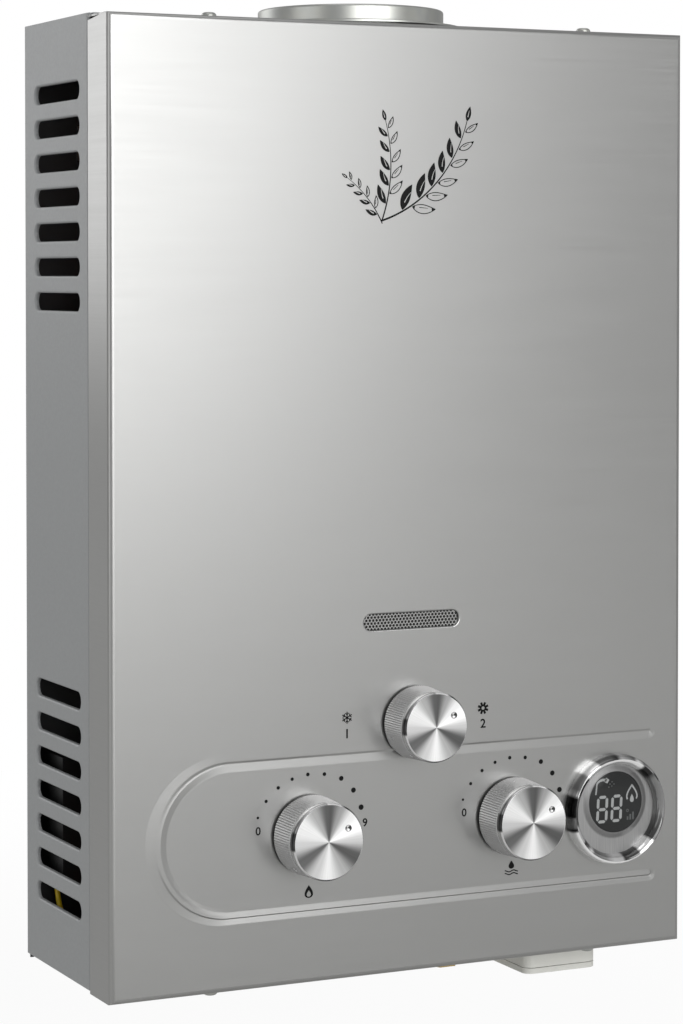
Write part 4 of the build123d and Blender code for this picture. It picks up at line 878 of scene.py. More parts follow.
def make_knob(kind):
    """A knob's dark foot ring, which is painted shade, and its skirt, and its disc's rim, face and dimple
    with painted reflections, all on the knob's body.
    """
    centre, (base, face), body = knob_centres[kind], knob_sizes[kind], kind + "_knob"
    disc = {"body": body, "slot": "spun_aluminium"}
    # The dark ring at the knob's foot is painted shade: it stands for the shadow line between knob and cover.
    shadow_ring_radius = base - 1.2
    painted_shadow_ring = [(seat_radius, knob_back), (shadow_ring_radius, knob_back), (shadow_ring_radius, shadow_ring_front),
            (seat_radius, shadow_ring_front), (seat_radius, knob_back)]
    make_piece(body + "_painted_shadow_ring", turned_surface(painted_shadow_ring, centre, 64), body=body, slot="dark_plastic")

    widest, narrowest = base - 0.4, face + 0.15
    skirt = [(seat_radius, grip_back, 0), (shadow_ring_radius - 0.05, grip_back, 0),
             (widest - 0.2, grip_back + 0.05, 0.8)]
    skirt += [(widest - (widest - narrowest) * t, teeth_out[0] + (teeth_out[1] - teeth_out[0]) * t, 1.0)
              for t in np.linspace(0, 1, 5)]
    skirt += [(face + 0.05, 124.5, 0.5), (face - 0.3, 124.75, 0.0), (face - 1.0, grip_front, 0.0),
              (face - 1.05, cap_back + 0.4, 0.0), (seat_radius, cap_back + 0.4, 0.0),
              (seat_radius, grip_back, 0)]
    make_piece(body + "_grip", knurled_surface(skirt, centre), knurled_alloy, replaces=[body + "_skirt"],
               sharp=24, **disc)

    rim_finish = new_finish(kind + "_polished_aluminium_rim", "#C8C8C8", 0.18, 0.8)
    paint_reflections_by_angle(rim_finish, centre, rim_painted_reflections)
    rim = [(0.0, cap_back + 0.5), (face - 1.2, cap_back + 0.5), (face - 1.1, grip_front + 0.05),
           (face - 0.2, 125.0), (face, 125.3), (face, 128.2), (face - 0.25, 128.7), (face - 0.75, knob_front)]
    make_piece(body + "_rim", turned_surface(rim, centre, 96), rim_finish, replaces=[body + "_cap"],
               sharp=40, **disc)

    face_finish = new_finish(kind + "_spun_aluminium_face", "#B0B0B0", 0.34, 0.7, Anisotropic=0.5)
    paint_reflections_by_angle(face_finish, centre, face_painted_reflections, interpolation="EASE", streak=0.06)
    ring_tangent(face_finish, centre)
    dimple = centre + dimple_share * face * rays(dimple_turn)
    points, triangles = flat_sheet(circle_loop(centre, face - 0.75, 96),
                                   [circle_loop(dimple, dimple_radius, 24)])
    make_piece(body + "_face", (at_out(points, knob_front), triangles), face_finish, **disc)

    dimple_finish = new_finish(kind + "_polished_dimple_painted_reflections", "#C8C8C8", 0.15, 0.6)
    paint_reflections_by_angle(dimple_finish, dimple, dimple_painted_reflections)
    bowl = [(dimple_radius * cos(a), knob_front - dimple_depth * sin(a)) for a in quarter(5)]
    make_piece(body + "_dimple", turned_surface(bowl, dimple, 24), dimple_finish, **disc)


for kind in knob_centres:
    make_knob(kind)
print("knobs:", list(knob_centres), "with", tooth_count, "teeth")

# %% [markdown]
# ## The display
# A chromed ring holds a grey brushed dial with a dark round window in it. Behind the window sits the
# board with its two digits. The ring is moulded plastic with a bright chrome plate, so it mirrors the
# room in sharp patches; here those are painted reflections, and each of its two slopes gets its own
# bright and dark patches painted into its base colour. The dial swells softly round the window, and
# its base colour is darkened on the swell as painted shade.

# %% The ring
outer_slope = [(26.0, 108.05), (26.0, 110.2), (25.9, 111.6), (25.6, 112.9), (25.1, 114.1), (24.6, 114.75),
               (24.0, 115.0)]
inner_slope = [(24.0, 115.0), (23.4, 114.85), (22.7, 114.3), (22.0, 113.4), (21.4, 112.3), (21.1, 111.4),
               (21.05, 109.65)]
# Painted reflections round the outer slope: bright and dark patches by angle.
outer_painted_reflections = [
    (0.0, "#0E0E0E"), (0.008, "#101010"), (0.014, "#7A7A7A"), (0.042, "#6A6A6A"), (0.047, "#0C0C0C"),
    (0.053, "#101010"), (0.058, "#F4F4F4"), (0.20, "#FFFFFF"), (0.333, "#F2F2F2"), (0.37, "#C8C8C8"),
    (0.38, "#FFFFFF"), (0.395, "#5A5A5A"), (0.415, "#8A8A8A"), (0.43, "#484848"), (0.49, "#909090"),
    (0.58, "#9A9A9A"), (0.592, "#2C2C2C"), (0.61, "#3C3C3C"), (0.622, "#9A9A9A"), (0.66, "#6C6C6C"),
    (0.685, "#DADADA"), (0.70, "#5C5C5C"), (0.745, "#C0C0C0"), (0.76, "#303030"), (0.775, "#5A5A5A"),
    (0.822, "#747474"), (0.83, "#FFFFFF"), (0.872, "#FFFFFF"), (0.88, "#8A8A8A"), (0.925, "#7A7A7A"),
    (0.943, "#C0C0C0"), (0.952, "#101010"),
]
# Painted reflections round the inner slope: bright and dark patches by angle.
inner_painted_reflections = [
    (0.0, "#4A4A4A"), (0.033, "#525252"), (0.045, "#CECECE"), (0.093, "#C0C0C0"), (0.10, "#242424"),
    (0.117, "#5E5E5E"), (0.135, "#D8D8D8"), (0.15, "#6C6C6C"), (0.20, "#8E8E8E"), (0.232, "#DADADA"),
    (0.262, "#D0D0D0"), (0.27, "#484848"), (0.325, "#565656"), (0.335, "#F6F6F6"), (0.38, "#F0F0F0"),
    (0.39, "#4A4A4A"), (0.43, "#585858"), (0.465, "#787878"), (0.475, "#909090"), (0.60, "#8A8A8A"),
    (0.622, "#2A2A2A"), (0.655, "#303030"), (0.665, "#F8F8F8"), (0.76, "#F2F2F2"), (0.875, "#E6E6E6"),
    (0.883, "#161616"), (0.935, "#1A1A1A"), (0.95, "#6E6E6E"), (1.0, "#4A4A4A"),
]
for side, profile, tones, replaced in (("outer", outer_slope, outer_painted_reflections, ["display_bezel"]),
                                       ("inner", inner_slope, inner_painted_reflections, [])):
    ring_finish = new_finish(side + "_slope_chromed_plastic", "#C8C8C8", 0.09, 0.7)
    paint_reflections_by_angle(ring_finish, display_centre, tones)
    make_piece("display_ring_" + side, turned_surface(profile, display_centre, 128), ring_finish,
               slot="chrome", replaces=replaced, sharp=50)

# %% The dial and the lens
dial_low, dial_high = box_of("display_dial")
dial_front = dial_high[1]
dial_radius = (dial_high[0] - dial_low[0]) / 2
lens_low, lens_high = box_of("display_lens")
lens_centre = (lens_low[[0, 2]] + lens_high[[0, 2]]) / 2
lens_radius = (lens_high[0] - lens_low[0]) / 2
lens_front = lens_high[1]
swell_width = 3.0
swell_height = 0.9
swell_radius = lens_radius + swell_width

brushed_dial = new_finish("brushed_grey_dial_plate", "#8F9091", 0.4, 0.55)
dial_grain = clouds(brushed_dial, object_pattern(brushed_dial, (0.35 * MM, 0.35 * MM, 14 * MM)), 2.0)
dial_tones = between(brushed_dial, dial_grain, "#848484", "#A4A4A4")
# Painted shade: the dial's base colour darkens to 0.62 of its tone on the swell round the lens.
lens_distance = distance(brushed_dial, from_axis(brushed_dial, lens_centre, (1, 0, 1)))
painted_shade_ends = ((swell_radius - 0.9) * MM, (swell_radius + 0.3) * MM)
painted_swell_shade = map_range(brushed_dial, lens_distance, painted_shade_ends, (0.62, 1.0), interpolation_type="SMOOTHSTEP")
feed(brushed_dial, "Base Color", scaled(brushed_dial, dial_tones, painted_swell_shade))

dial_points, dial_triangles = flat_sheet(circle_loop(display_centre, dial_radius, 96),
                                         [circle_loop(lens_centre, swell_radius, 72)])
swell = [(swell_radius - swell_width * t, dial_front + swell_height * ramp(t)) for t in np.linspace(0, 1, 9)]
swell += [(lens_radius - 0.05, dial_front + 0.55), (lens_radius - 0.1, dial_front + 0.02)]
dial = (at_out(dial_points, dial_front), dial_triangles)
make_piece("dial_plate", joined(dial, turned_surface(swell, lens_centre, 72)), brushed_dial,
           replaces=["display_dial"], slot="spun_aluminium", sharp=40, outward=True)

lens_glass = cloudy_finish("dark_tinted_acrylic_lens", "#282929", 0.12, 0.0, 5.0, 0.1, 0.15,
                           Specular_IOR_Level=0.25)
lens_profile = [(0.0, lens_front), (lens_radius - 0.6, lens_front), (lens_radius - 0.25, lens_front - 0.1),
                (lens_radius - 0.12, lens_front - 0.3), (lens_radius - 0.12, dial_front + 0.01)]
make_piece("lens_disc", turned_surface(lens_profile, lens_centre, 72), lens_glass, replaces=["display_lens"],
           slot="dark_plastic", sharp=40, outward=True)
print("dial front", round(dial_front, 2), "lens radius", round(lens_radius, 2), "front", round(lens_front, 2))

# %% [markdown]
# ## Printed and lit marks
# Print is a film of ink some hundredths of a millimetre thick. Here each mark is a flat shape a little
# in front of its surface, so that it stays crisp at any distance. Digits on the display are built
# from seven mitred bars, as in the real part. The scale round a knob is nine dots that grow, with
# plain numbers at its ends. A small pictogram says what each knob is for.

# %% Strokes, drops and digits
ink = cloudy_finish("black_screen_print", "#070707", 0.6, 0.0, 1.0, 0.44, 0.56, Specular_IOR_Level=0.15)
lit_grey = cloudy_finish("pale_display_segments", "#929494", 0.5, 0.0, 2.0, 0.42, 0.52)
dim_grey = cloudy_finish("unlit_display_segments", "#4A4C4C", 0.5, 0.0, 2.0, 0.42, 0.52)
mark_thickness = 0.04
ink_out = face_out + 0.02


def print_marks(name, shapes, finish, out):
    """Flat shapes, each an outline with its holes, a little in front of the surface at the given depth."""
    sheets = [flat_sheet(outer, holes) for outer, *holes in shapes]
    films = [(at_out(points, out + mark_thickness), triangles) for points, triangles in sheets]
    flat_piece(name, joined(*films), mark_thickness, finish)


def stroke(points, width, end_width=None):
    """The outline of a line that may taper: each point moves to both sides by half the width there."""
    points = np.asarray(points, float)
    along = np.gradient(points, axis=0)
    along /= np.linalg.norm(along, axis=1)[:, None]
    sideways = np.stack((-along[:, 1], along[:, 0]), axis=1)
    half = np.linspace(width, width if end_width is None else end_width, len(points))[:, None] / 2
    return np.concatenate((points + sideways * half, (points - sideways * half)[::-1]))


def spoke(centre, turn, first, last, width):
    """A straight stroke away from a centre, from the first distance to the last."""
    return [stroke(centre + np.linspace(first, last, 3)[:, None] * rays(turn), width)]


def drop_line(width, height, waist=0.62, steps=22):
    """A drop's outline: half width w sin(t) ((1 - cos t) / 2)^waist at height h (1 + cos t) / 2, pointed at
    the top. The right half comes first, from top to bottom, and then the left half, its mirror image."""
    t = np.linspace(0, pi, steps)
    half = np.sin(t) * ((1 - np.cos(t)) / 2) ** waist
    half = half / half.max() * width / 2
    half[0] = half[-1] = 0
    right = np.stack((half, height * (1 + np.cos(t)) / 2), axis=1)
    return np.concatenate((right, right[-2:0:-1] * (-1, 1)))


def digit_bars(centre, width, height, weight, slant, gap=0.36):
    """The seven bars of a digit 8, each a hexagon whose ends are mitred; slant moves x by that share of z."""
    half = np.array((width - weight, height - weight)) / 2
    ends = (((-1, 1), (1, 1)), ((-1, 0), (1, 0)), ((-1, -1), (1, -1)), ((-1, 0), (-1, 1)),
            ((-1, -1), (-1, 0)), ((1, 0), (1, 1)), ((1, -1), (1, 0)))
    bars = []
    for a, b in np.array(ends) * half:
        along = (b - a) / np.linalg.norm(b - a)
        side = np.array((-along[1], along[0])) * weight / 2
        a, b, tip = a + along * gap, b - along * gap, along * weight / 2
        hexagon = np.array([a, a + tip + side, b - tip + side, b, b - tip - side, a + tip - side])
        hexagon[:, 0] += slant * hexagon[:, 1]
        bars.append([hexagon + centre])
    return bars


# %% [markdown]
# The display shows two digits, an open flame line round a drop, and a small shower arm. A few faint
# marks stand for segments that aren't lit.

# %% Marks on the display
digit_size = (6.1, 12.9, 1.4, 0.05)
segments = [bar for x in (-7.2, 0.6) for bar in digit_bars(lens_centre + (x, -3.1), *digit_size)]
flame_side = drop_line(5.6, 7.6)[:17]
flame_line = np.concatenate(((flame_side * (-1, 1))[::-1], flame_side[1:]))
segments += [[stroke(flame_line + lens_centre + (9.0, -0.3), 0.75)],
             [drop_line(2.1, 3.9) + lens_centre + (9.0, -0.8)]]
arm_bend = (-6.6, 8.4) + (3.6, 2.4) * rays(np.radians(np.linspace(180, 60, 12)))
arm = np.concatenate(([(-10.7, 4.0), (-10.4, 6.2)], arm_bend))
arm_head = [(-5.0, 11.8), (-3.4, 10.6), (-4.5, 9.0), (-6.2, 9.9)]
segments += [[stroke(arm + lens_centre, 0.7, 1.3)], [arm_head + lens_centre]]
print_marks("display_segments", segments, lit_grey, lens_front)

faint_marks = [[circle_loop(lens_centre + place, 0.35, 10)]
               for place in ((-3.0, 8.6), (-1.9, 9.6), (-2.0, 7.6), (-0.8, 8.5), (-3.6, 7.2))]
faint_marks += [[circle_loop(lens_centre + (6.6, -4.6), radius, 16) for radius in (0.75, 0.4)]]
bar_width, bar_foot = 0.9, -9.0
faint_marks += [[lens_centre + [(x, bar_foot), (x + bar_width, bar_foot), (x + bar_width, bar_foot + height),
                                (x, bar_foot + height)]]
                for x, height in ((6.2, 1.6), (7.7, 2.6), (9.2, 3.6))]
print_marks("display_faint_marks", faint_marks, dim_grey, lens_front)

# %% [markdown]
# Round each of the two lower knobs run nine dots, each given by its angle, its distance from the
# knob's axis and its radius. A plain 0 and 9 stand at their ends, and 1 and 2 beside the upper knob.

# %% Dots and numbers
scale_centres = ((-49.3, 66.4), (53.7, 66.4))
scale_turns = np.radians([158.8, 141.8, 124.8, 108.9, 92.4, 75.4, 57.8, 41.0, 22.8])
scale_radii = [27.5, 27.5, 27.5, 27.4, 27.5, 27.9, 28.9, 28.5, 27.5]
scale_dots = [0.6, 0.78, 0.82, 0.8, 0.86, 0.88, 1.12, 1.2, 1.25]
scale_height = 3.8
season_height = 4.2
number_thickness = 0.05
# Text, place and height of each number
numbers = [("0", (-74.8, 70.4), scale_height), ("9", (-22.0, 70.0), scale_height),
           ("0", (28.7, 70.4), scale_height), ("9", (79.4, 70.0), scale_height),
           ("1", (-31.0, 110.8), season_height), ("2", (38.5, 110.8), season_height)]


def numeral(text, centre, height):
    """A number in Blender's own plain typeface, as flat faces scaled to the given height."""
    curve = bpy.data.curves.new("numeral", "FONT")
    curve.body = text
    curve.align_x = "CENTER"
    curve.resolution_u = 5
    curve.offset = 0.018
    lettering = bpy.data.objects.new("numeral", curve)
    mesh = bpy.data.meshes.new_from_object(lettering)
    points = np.array([vertex.co for vertex in mesh.vertices])[:, :2]
    faces = [list(face.vertices) for face in mesh.polygons]
    bpy.data.objects.remove(lettering)
    bpy.data.curves.remove(curve)
    bpy.data.meshes.remove(mesh)
    low, high = points.min(axis=0), points.max(axis=0)
    points = (points - (low + high) / 2) * height / (high[1] - low[1]) + centre
    return at_out(points, ink_out + mark_thickness), faces


flat_piece("scale_numbers", joined(*[numeral(*number) for number in numbers]), number_thickness, ink)
dots = [[circle_loop((x + reach * cos(a), z + reach * sin(a)), size, 20)]
        for x, z in scale_centres for a, reach, size in zip(scale_turns, scale_radii, scale_dots)]
print_marks("scale_dots", dots, ink, ink_out)

# %% Pictograms


def snowflake(centre, radius, weight):
    """Three strokes through the centre, and a pair of short twigs at the middle of each of the six arms."""
    shapes = [spoke(centre, turn, -radius, radius, weight) for turn in np.radians(30 + 60 * np.arange(3))]
    for turn in np.radians(30 + 60 * np.arange(6)):
        root = centre + rays(turn) * radius * 0.5
        shapes += [spoke(root, turn + lean * radians(50), 0, radius * 0.42, weight * 0.9) for lean in (-1, 1)]
    return shapes


def sun(centre, radius, weight):
    """A ring with eight short rays."""
    shapes = [[circle_loop(centre, radius * 0.58, 28), circle_loop(centre, radius * 0.28, 20)]]
    return shapes + [spoke(centre, turn, radius * 0.5, radius, weight)
                     for turn in np.radians(22.5 + 45 * np.arange(8))]


def flame(centre, size):
    """A drop with a smaller drop cut out of its foot."""
    return [[drop_line(size * 0.72, size) + centre,
             drop_line(size * 0.36, size * 0.5) + centre + (0, size * 0.1)]]


def water(centre, size):
    """A drop over two short waves."""
    shapes = [[drop_line(size * 0.5, size * 0.66) + centre + (0, size * 0.36)]]
    x = np.linspace(-0.6, 0.6, 25) * size
    for z in (0.18, -0.04):
        wave = np.stack((x, np.sin(x / size * 2 * pi * 1.25) * size * 0.06 + z * size), axis=1)
        shapes.append([stroke(wave + centre, size * 0.09)])
    return shapes


pictures = snowflake((-31.0, 118.0), 2.7, 0.5) + sun((38.5, 117.8), 2.8, 1.1)
pictures += flame((-50.0, 38.4), 5.8) + water((53.5, 40.2), 5.8)
print_marks("pictograms", pictures, ink, ink_out)
print("marks:", len(dots), "dots,", len(pictures), "pictogram shapes,", len(segments), "display shapes")

# %% [markdown]
# ## The leaf print
# The upper front carries a decoration in black print: three twigs with oval leaves rise from one
# foot. The leaves are filled on one side of a twig and in outline on the other. A leaf is a function
# of its length: its half width is w sin(pi t^0.85)^0.9, a little fuller near the stalk, along an arc.

# %% The twigs
leaf_lean = radians(38)
leaf_bend = radians(24)
leaf_slimness = 0.36
leaf_wall = 0.42


def leaf_line(root, turn, length, width, bend, inset=0.0, steps=18):
    """A leaf's outline along an arc that turns by bend: half width (w / 2) sin(pi t^0.85)^0.9 - inset."""
    t = np.linspace(0, 1, steps)
    angle = turn + bend * (t - 0.5)
    run = rays(angle) * length / (steps - 1)
    spine = root + np.concatenate((np.zeros((1, 2)), np.cumsum((run[1:] + run[:-1]) / 2, axis=0)))
    half = np.clip(width / 2 * np.sin(pi * t**0.85) ** 0.9 - inset, 0.02, None)[:, None]
    side = np.stack((-np.sin(angle), np.cos(angle)), axis=1)
    if inset:
        used = slice(2, steps - 3)
        return np.concatenate(((spine + side * half)[used], (spine - side * half)[used][::-1]))
    return np.concatenate((spine + side * half, (spine - side * half)[-2:0:-1]))


def leaf(root, turn, length, width, bend, filled):
    """A filled leaf with a slit of light along its middle, or a leaf in outline with a short vein."""
    outer = leaf_line(root, turn, length, width, bend)
    if filled:
        t = np.linspace(0.28, 0.72, 8)
        return [[outer, stroke(root + rays(turn + bend * (t - 0.5)) * (t * length)[:, None], 0.45, 0.2)]]
    t = np.linspace(0.3, 0.66, 6)
    return [[outer, leaf_line(root, turn, length, width, bend, leaf_wall)],
            [stroke(root + rays(turn) * (t * length)[:, None], 0.35, 0.2)]]


def twig(start, turn, length, bend, pairs, leaf_length, weight, steps=39):
    """A stalk along an arc with alternate leaves that shorten towards its tip."""
    angle = turn + bend * np.linspace(0, 1, steps + 1)
    run = rays(angle) * length / steps
    spine = start + np.concatenate((np.zeros((1, 2)), np.cumsum(run[:-1], axis=0)))
    shapes = [[stroke(spine, weight, weight * 0.4)]]
    for number in range(2 * pairs):
        place = 0.2 + 0.74 * number / (2 * pairs - 1)
        index = int(place * steps)
        side = 1 if number % 2 == 0 else -1
        size = leaf_length * (1 - 0.45 * place)
        root = spine[index] + np.array((-sin(angle[index]), cos(angle[index]))) * side * weight * 0.6
        shapes += leaf(root, angle[index] + side * leaf_lean, size, size * leaf_slimness, -side * leaf_bend,
                       side > 0)
    return shapes + leaf(spine[-1], angle[-1], leaf_length * 0.5, leaf_length * 0.19, 0.0, True)


foot = np.array((-14.0, 341.0))
leaf_print = twig(foot, radians(18), 66.0, radians(58), 6, 14.0, 0.9)
leaf_print += twig(foot + (0.3, -0.2), radians(70), 46.0, radians(36), 5, 10.5, 0.7)
leaf_print += twig(foot + (0.6, -1.2), radians(116), 27.0, radians(30), 4, 7.0, 0.55)
print_marks("leaf_print", leaf_print, ink, ink_out)
print("leaf print:", len(leaf_print), "shapes")

# %% [markdown]
# ## The flame window
# Behind the drawn opening lies a strip of fine perforated sheet, so that a user can see the burner's
# flame. The CAD part has a coarser pattern. Here the holes have their real spacing of about 1.7 mm,
# in rows that are shifted by half a step, and each hole is a hexagon, which is round enough at that size.

# %% The perforated strip
hole_pitch = 1.72
hole_radius = 0.7
row_step = 1.36
strip_thickness = 0.4
(strip_left, _, strip_low), (strip_right, strip_out, strip_top) = box_of("window_grille")
row = np.arange(-3, 3)[:, None]
hole_x = np.arange(-16, 17) * hole_pitch + (row % 2) * hole_pitch / 2
hole_z = np.broadcast_to((row + 0.5) * row_step, hole_x.shape)
holes = np.stack((hole_x, hole_z), axis=2).reshape(-1, 2)
reach = np.hypot(np.clip(np.abs(holes[:, 0]) - (window_length - window_height) / 2, 0, None), holes[:, 1])
holes = holes[reach < window_height / 2 + 0.2] + window_centre
strip_edge = [(strip_left, strip_low), (strip_right, strip_low), (strip_right, strip_top),
              (strip_left, strip_top)]
strip_points, strip_triangles = flat_sheet(strip_edge, [circle_loop(hole, hole_radius, 6) for hole in holes])
flat_piece("window_strip", (at_out(strip_points, strip_out), strip_triangles), strip_thickness,
           slot="stainless_cover", replaces=["window_grille"])
print("window strip:", len(holes), "holes")

# %% [markdown]
# ## Threads on the connections
# The three connections below the case are turned brass with a G 1/2 thread: 20.96 mm across the
# crests and 1.81 mm from one crest to the next. A thread is one ridge that climbs as it goes round,
# so the radius is a function of height and angle together. Its hexagon lies on the bottom plate.

# %% The threaded connections
thread_pitch = 1.814
thread_crest = 10.48
thread_depth = 1.0
thread_length = 12.4
relief_radius = 9.6
hexagon_flats = 13.5
hexagon_height = 5.0
hexagon_chamfer = 0.6
neck_radius = 8.5
bore_radius = 6.5
bore_depth = 22.0
bore_chamfer = 0.5


def threaded_surface(centre, low, high, steps=9, sides=48):
    """A thread: r = crest - depth |2 (z / pitch - a / 2 pi mod 1) - 1|, which fades in over 0.6 of a turn at
    both its ends."""
    z = np.linspace(low, high, int((high - low) / thread_pitch * steps))[:, None]
    turn = np.linspace(0, 2 * pi, sides, endpoint=False)[None, :]
    saw = np.abs(2 * ((z / thread_pitch - turn / (2 * pi)) % 1) - 1)
    fade = np.clip(np.minimum(z - low, high - z) / (0.6 * thread_pitch), 0, 1)
    return round_surface(centre, thread_crest - thread_depth * (1 - (1 - saw) * fade), turn, z, upright=True)


def hexagon_surface(centre, low):
    """A hexagonal prism with a chamfer at both ends, as a six-sided turned surface."""
    high, corner = low + hexagon_height, hexagon_flats / cos(pi / 6)
    face = corner - hexagon_chamfer * 1.6
    profile = [(0.0, low), (face, low), (corner, low + hexagon_chamfer), (corner, high - hexagon_chamfer),
               (face, high), (0.0, high)]
    return turned_surface(profile, centre, 6, upright=True, first=pi / 6)


for node in ("gas_inlet", "cold_inlet", "hot_outlet"):
    low, high = box_of(node)
    centre, foot, top = (low[:2] + high[:2]) / 2, low[2], high[2]
    thread_top = foot + thread_length
    corners = np.array([vertex.co for vertex in frame["nodes"][node].data.vertices]) / (MM, -MM, MM)
    wide = np.abs(corners[:, :2] - centre).max(axis=1) > hexagon_flats - 0.5
    hexagon_low = corners[wide, 2].min()
    thread_root = thread_crest - thread_depth
    plain_parts = (
        ([(relief_radius, thread_top - 0.3), (relief_radius, hexagon_low + 0.1)], 32),
        ([(neck_radius, hexagon_low + hexagon_height - 0.1), (neck_radius, top), (0.0, top)], 32),
        ([(0.0, foot + bore_depth), (bore_radius, foot + bore_depth), (bore_radius, foot + bore_chamfer),
          (bore_radius + bore_chamfer, foot), (thread_root, foot), (thread_root, foot + 0.02)], 48))
    stem, neck, mouth = (turned_surface(profile, centre, sides, upright=True)
                         for profile, sides in plain_parts)
    surface = joined(threaded_surface(centre, foot, thread_top), stem, hexagon_surface(centre, hexagon_low),
                     neck, mouth)
    make_piece(node + "_turned", surface, slot="brass", replaces=[node], sharp=38)
    print(node, "thread from", round(foot, 1), "to", round(thread_top, 1),
          "hexagon at", round(hexagon_low, 2))

# %% [markdown]
# ## The yellow lead
# Behind the lowest vents on the left runs a short yellow lead from the ignition controller to the
# battery box. It is a soft stranded wire 2.6 mm across, held at both ends by its housings, so it
# hangs in one easy curve. It is a smooth NURBS curve through the route that the CAD lead follows.

# %% The lead
lead_radius = 1.3
lead_route = [(-134.0, -12.0, 38.0), (-134.0, -12.0, 29.0), (-134.5, -21.0, 20.0), (-134.0, -37.0, 13.5),
              (-131.0, -62.0, 9.5), (-112.0, -86.0, 9.0), (-74.0, -95.5, 8.5), (-26.0, -91.0, 8.0),
              (30.0, -93.0, 9.0), (56.0, -76.0, 15.0), (76.8, -76.0, 15.0)]
lead_curve = bpy.data.curves.new("yellow_lead", "CURVE")
lead_curve.dimensions = "3D"
lead_curve.resolution_u = 8
lead_line = lead_curve.splines.new("NURBS")
lead_line.points.add(len(lead_route) - 1)
for point, place in zip(lead_line.points, lead_route):
    point.co = (*(value * MM for value in place), 1.0)
lead_line.order_u = 3
lead_line.use_endpoint_u = True
lead_curve.bevel_depth = lead_radius * MM
lead_curve.bevel_resolution = 3
lead_curve.use_fill_caps = True
lead_curve.materials.append(slot_finishes["yellow_lead"])
lead = bpy.data.objects.new("yellow_lead", lead_curve)
bpy.context.collection.objects.link(lead)
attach(lead, "heater")
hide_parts("battery_lead")
print("lead:", len(lead_route), "points")

# %% [markdown]
# ## Screws
# The cover is held by four small screws: two up through its lower flange and two down through its
# upper one. Each is a pan head with a cross recess. The head is a dome, r from 0 to 3.4 mm, and the
# recess sinks where a point lies close to either of two lines across the head.

# %% Pan-head screws
head_radius = 3.4
head_height = 1.9
recess_depth = 1.1
recess_half, recess_reach = 0.42, 1.75
screw_out = face_out - 7.0


def cross_head(x, base, way, turn, rings=26, sides=64):
    """A dome h = H (1 - (r / R)^4)^0.5, less a cross-shaped recess that fades towards its ends."""
    r = np.linspace(0.0, 1.0, rings)[:, None]
    a = np.linspace(0, 2 * pi, sides, endpoint=False)[None, :]
    u, v = (np.abs(r * wave(a - turn) * head_radius) for wave in (np.cos, np.sin))
    arm = (np.minimum(u, v) < recess_half) & (np.maximum(u, v) < recess_reach)
    height = head_height * np.sqrt(np.clip(1 - r**4, 0, 1)) - recess_depth * arm * (1 - r)**0.3
    return round_surface((x, screw_out), r * head_radius, a, base + way * height, upright=True)


screws = [cross_head(*screw) for screw in ((-95.0, 0.0, -1, 0.4), (98.0, 0.0, -1, 1.1),
                                           (-95.0, cover_height, 1, 0.9), (95.0, cover_height, 1, 0.2))]
make_piece("cover_screws", joined(*screws), slot="plated_steel", sharp=30, outward=True)
print("screws:", len(screws))

# %% [markdown]
# ## The studio
# The heater is shown on white. Large soft lamps stand for a photographer's softboxes, and a pale
# floor takes its shadow. The steel front acts as a blurred mirror: the camera sees the room a little
# to the right of straight ahead. So the main softbox ends there, and the front fades from bright at
# the upper left to darker at the lower right. The white background belongs to camera rays only, and
# a share of it to reflections, so that it adds no light to the object. The floor lies low enough
# for the open battery door. Away from the heater it fades into that white, so no horizon shows.

# %% World
ambient_level = 0.5
reflected_level = 0.42
world = bpy.data.worlds.new("studio")
bpy.context.scene.world = world
world.use_nodes = True
background = world.node_tree.nodes["Background"]
background.inputs["Color"].default_value = linear("#FFFFFF")
seen = add_node(world, "LightPath").outputs
mirrored = maths(world, "MAXIMUM", seen["Is Glossy Ray"], seen["Is Transmission Ray"])
unseen_level = map_range(world, mirrored, (0, 1), (ambient_level, reflected_level))
level = maths(world, "MAXIMUM", unseen_level, seen["Is Camera Ray"])
world.node_tree.links.new(level, background.inputs["Strength"])

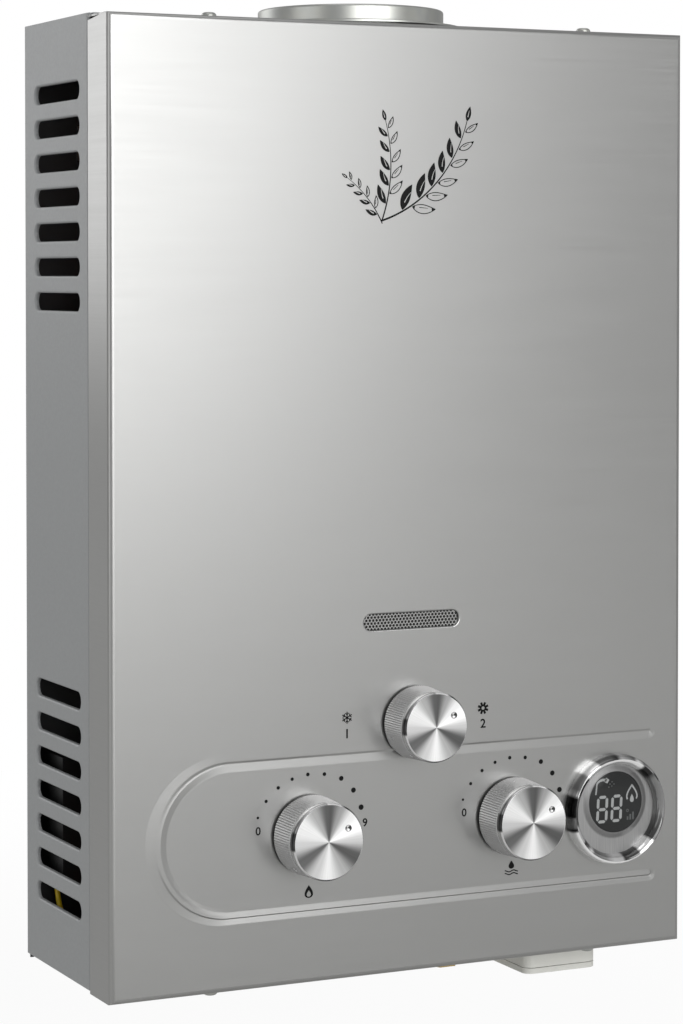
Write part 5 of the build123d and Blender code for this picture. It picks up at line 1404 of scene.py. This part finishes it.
# %% Floor
floor_drop = 0.075
floor_z = cad_low[2] - floor_drop
floor_half = 6.0
floor_white = 0.93
fade_near, fade_far = 0.25, 1.0
floor_paint = new_finish("matt_white_studio_floor", "#D6D6D5", 0.9, Specular_IOR_Level=0.1)
glow = add_node(floor_paint, "Emission", {"Color": linear("#FFFFFF"), "Strength": 1.0}).outputs[0]
fade = map_range(floor_paint, distance(floor_paint, object_pattern(floor_paint)), (fade_near, fade_far),
                 (floor_white, 1.0), interpolation_type="SMOOTHSTEP")
share = maths(floor_paint, "MULTIPLY", add_node(floor_paint, "LightPath").outputs["Is Camera Ray"], fade)
shader = floor_paint.node_tree.nodes["Principled BSDF"].outputs[0]
mix = add_node(floor_paint, "MixShader", {0: share, 1: shader, 2: glow}).outputs[0]
floor_paint.node_tree.links.new(mix, floor_paint.node_tree.nodes["Material Output"].inputs["Surface"])
floor_corners = np.array([(-1, -1, 0), (1, -1, 0), (1, 1, 0), (-1, 1, 0)]) * floor_half + (0, 0, floor_z)
floor_mesh = bpy.data.meshes.new("studio_floor")
floor_mesh.from_pydata(floor_corners.tolist(), [], [(0, 1, 2, 3)])
floor_mesh.materials.append(floor_paint)
floor = bpy.data.objects.new("studio_floor", floor_mesh)
bpy.context.collection.objects.link(floor)

# %% Softboxes


def softbox(name, place, target, size, radiance):
    """An area lamp that faces a target. Power = pi * radiance * area, so that radiance 1 looks white."""
    lamp = bpy.data.lights.new(name, "AREA")
    lamp.shape = "RECTANGLE"
    lamp.size, lamp.size_y = size
    lamp.energy = pi * radiance * size[0] * size[1]
    box = bpy.data.objects.new(name, lamp)
    box.location = place
    direction = Vector(target) - Vector(place)
    box.rotation_euler = direction.to_track_quat("-Z", "Y").to_euler()
    box.visible_camera = False
    bpy.context.collection.objects.link(box)


softbox("main_softbox", (0.08, -3.0, 1.12), (0.0, -0.1, 0.3), (2.5, 2.2), 3.75)
softbox("left_softbox", (-2.6, -0.45, 0.6), (0.0, 0.0, 0.2), (1.5, 1.8), 1.0)
softbox("rear_left_softbox", (-1.45, 3.0, 1.2), (-0.1, 0.0, 0.3), (1.7, 1.9), 1.5)
softbox("top_softbox", (0.0, -0.2, 2.4), (0.0, -0.1, 0.0), (1.8, 1.2), 0.9)
softbox("right_softbox", (2.6, -1.0, 1.2), (0.0, 0.0, 0.2), (1.2, 1.8), 0.35)

# %% View transform and the CAD box
bpy.context.scene.view_settings.view_transform = "Standard"
print("CAD box", [round(v, 4) for v in (*cad_low, *cad_high)])
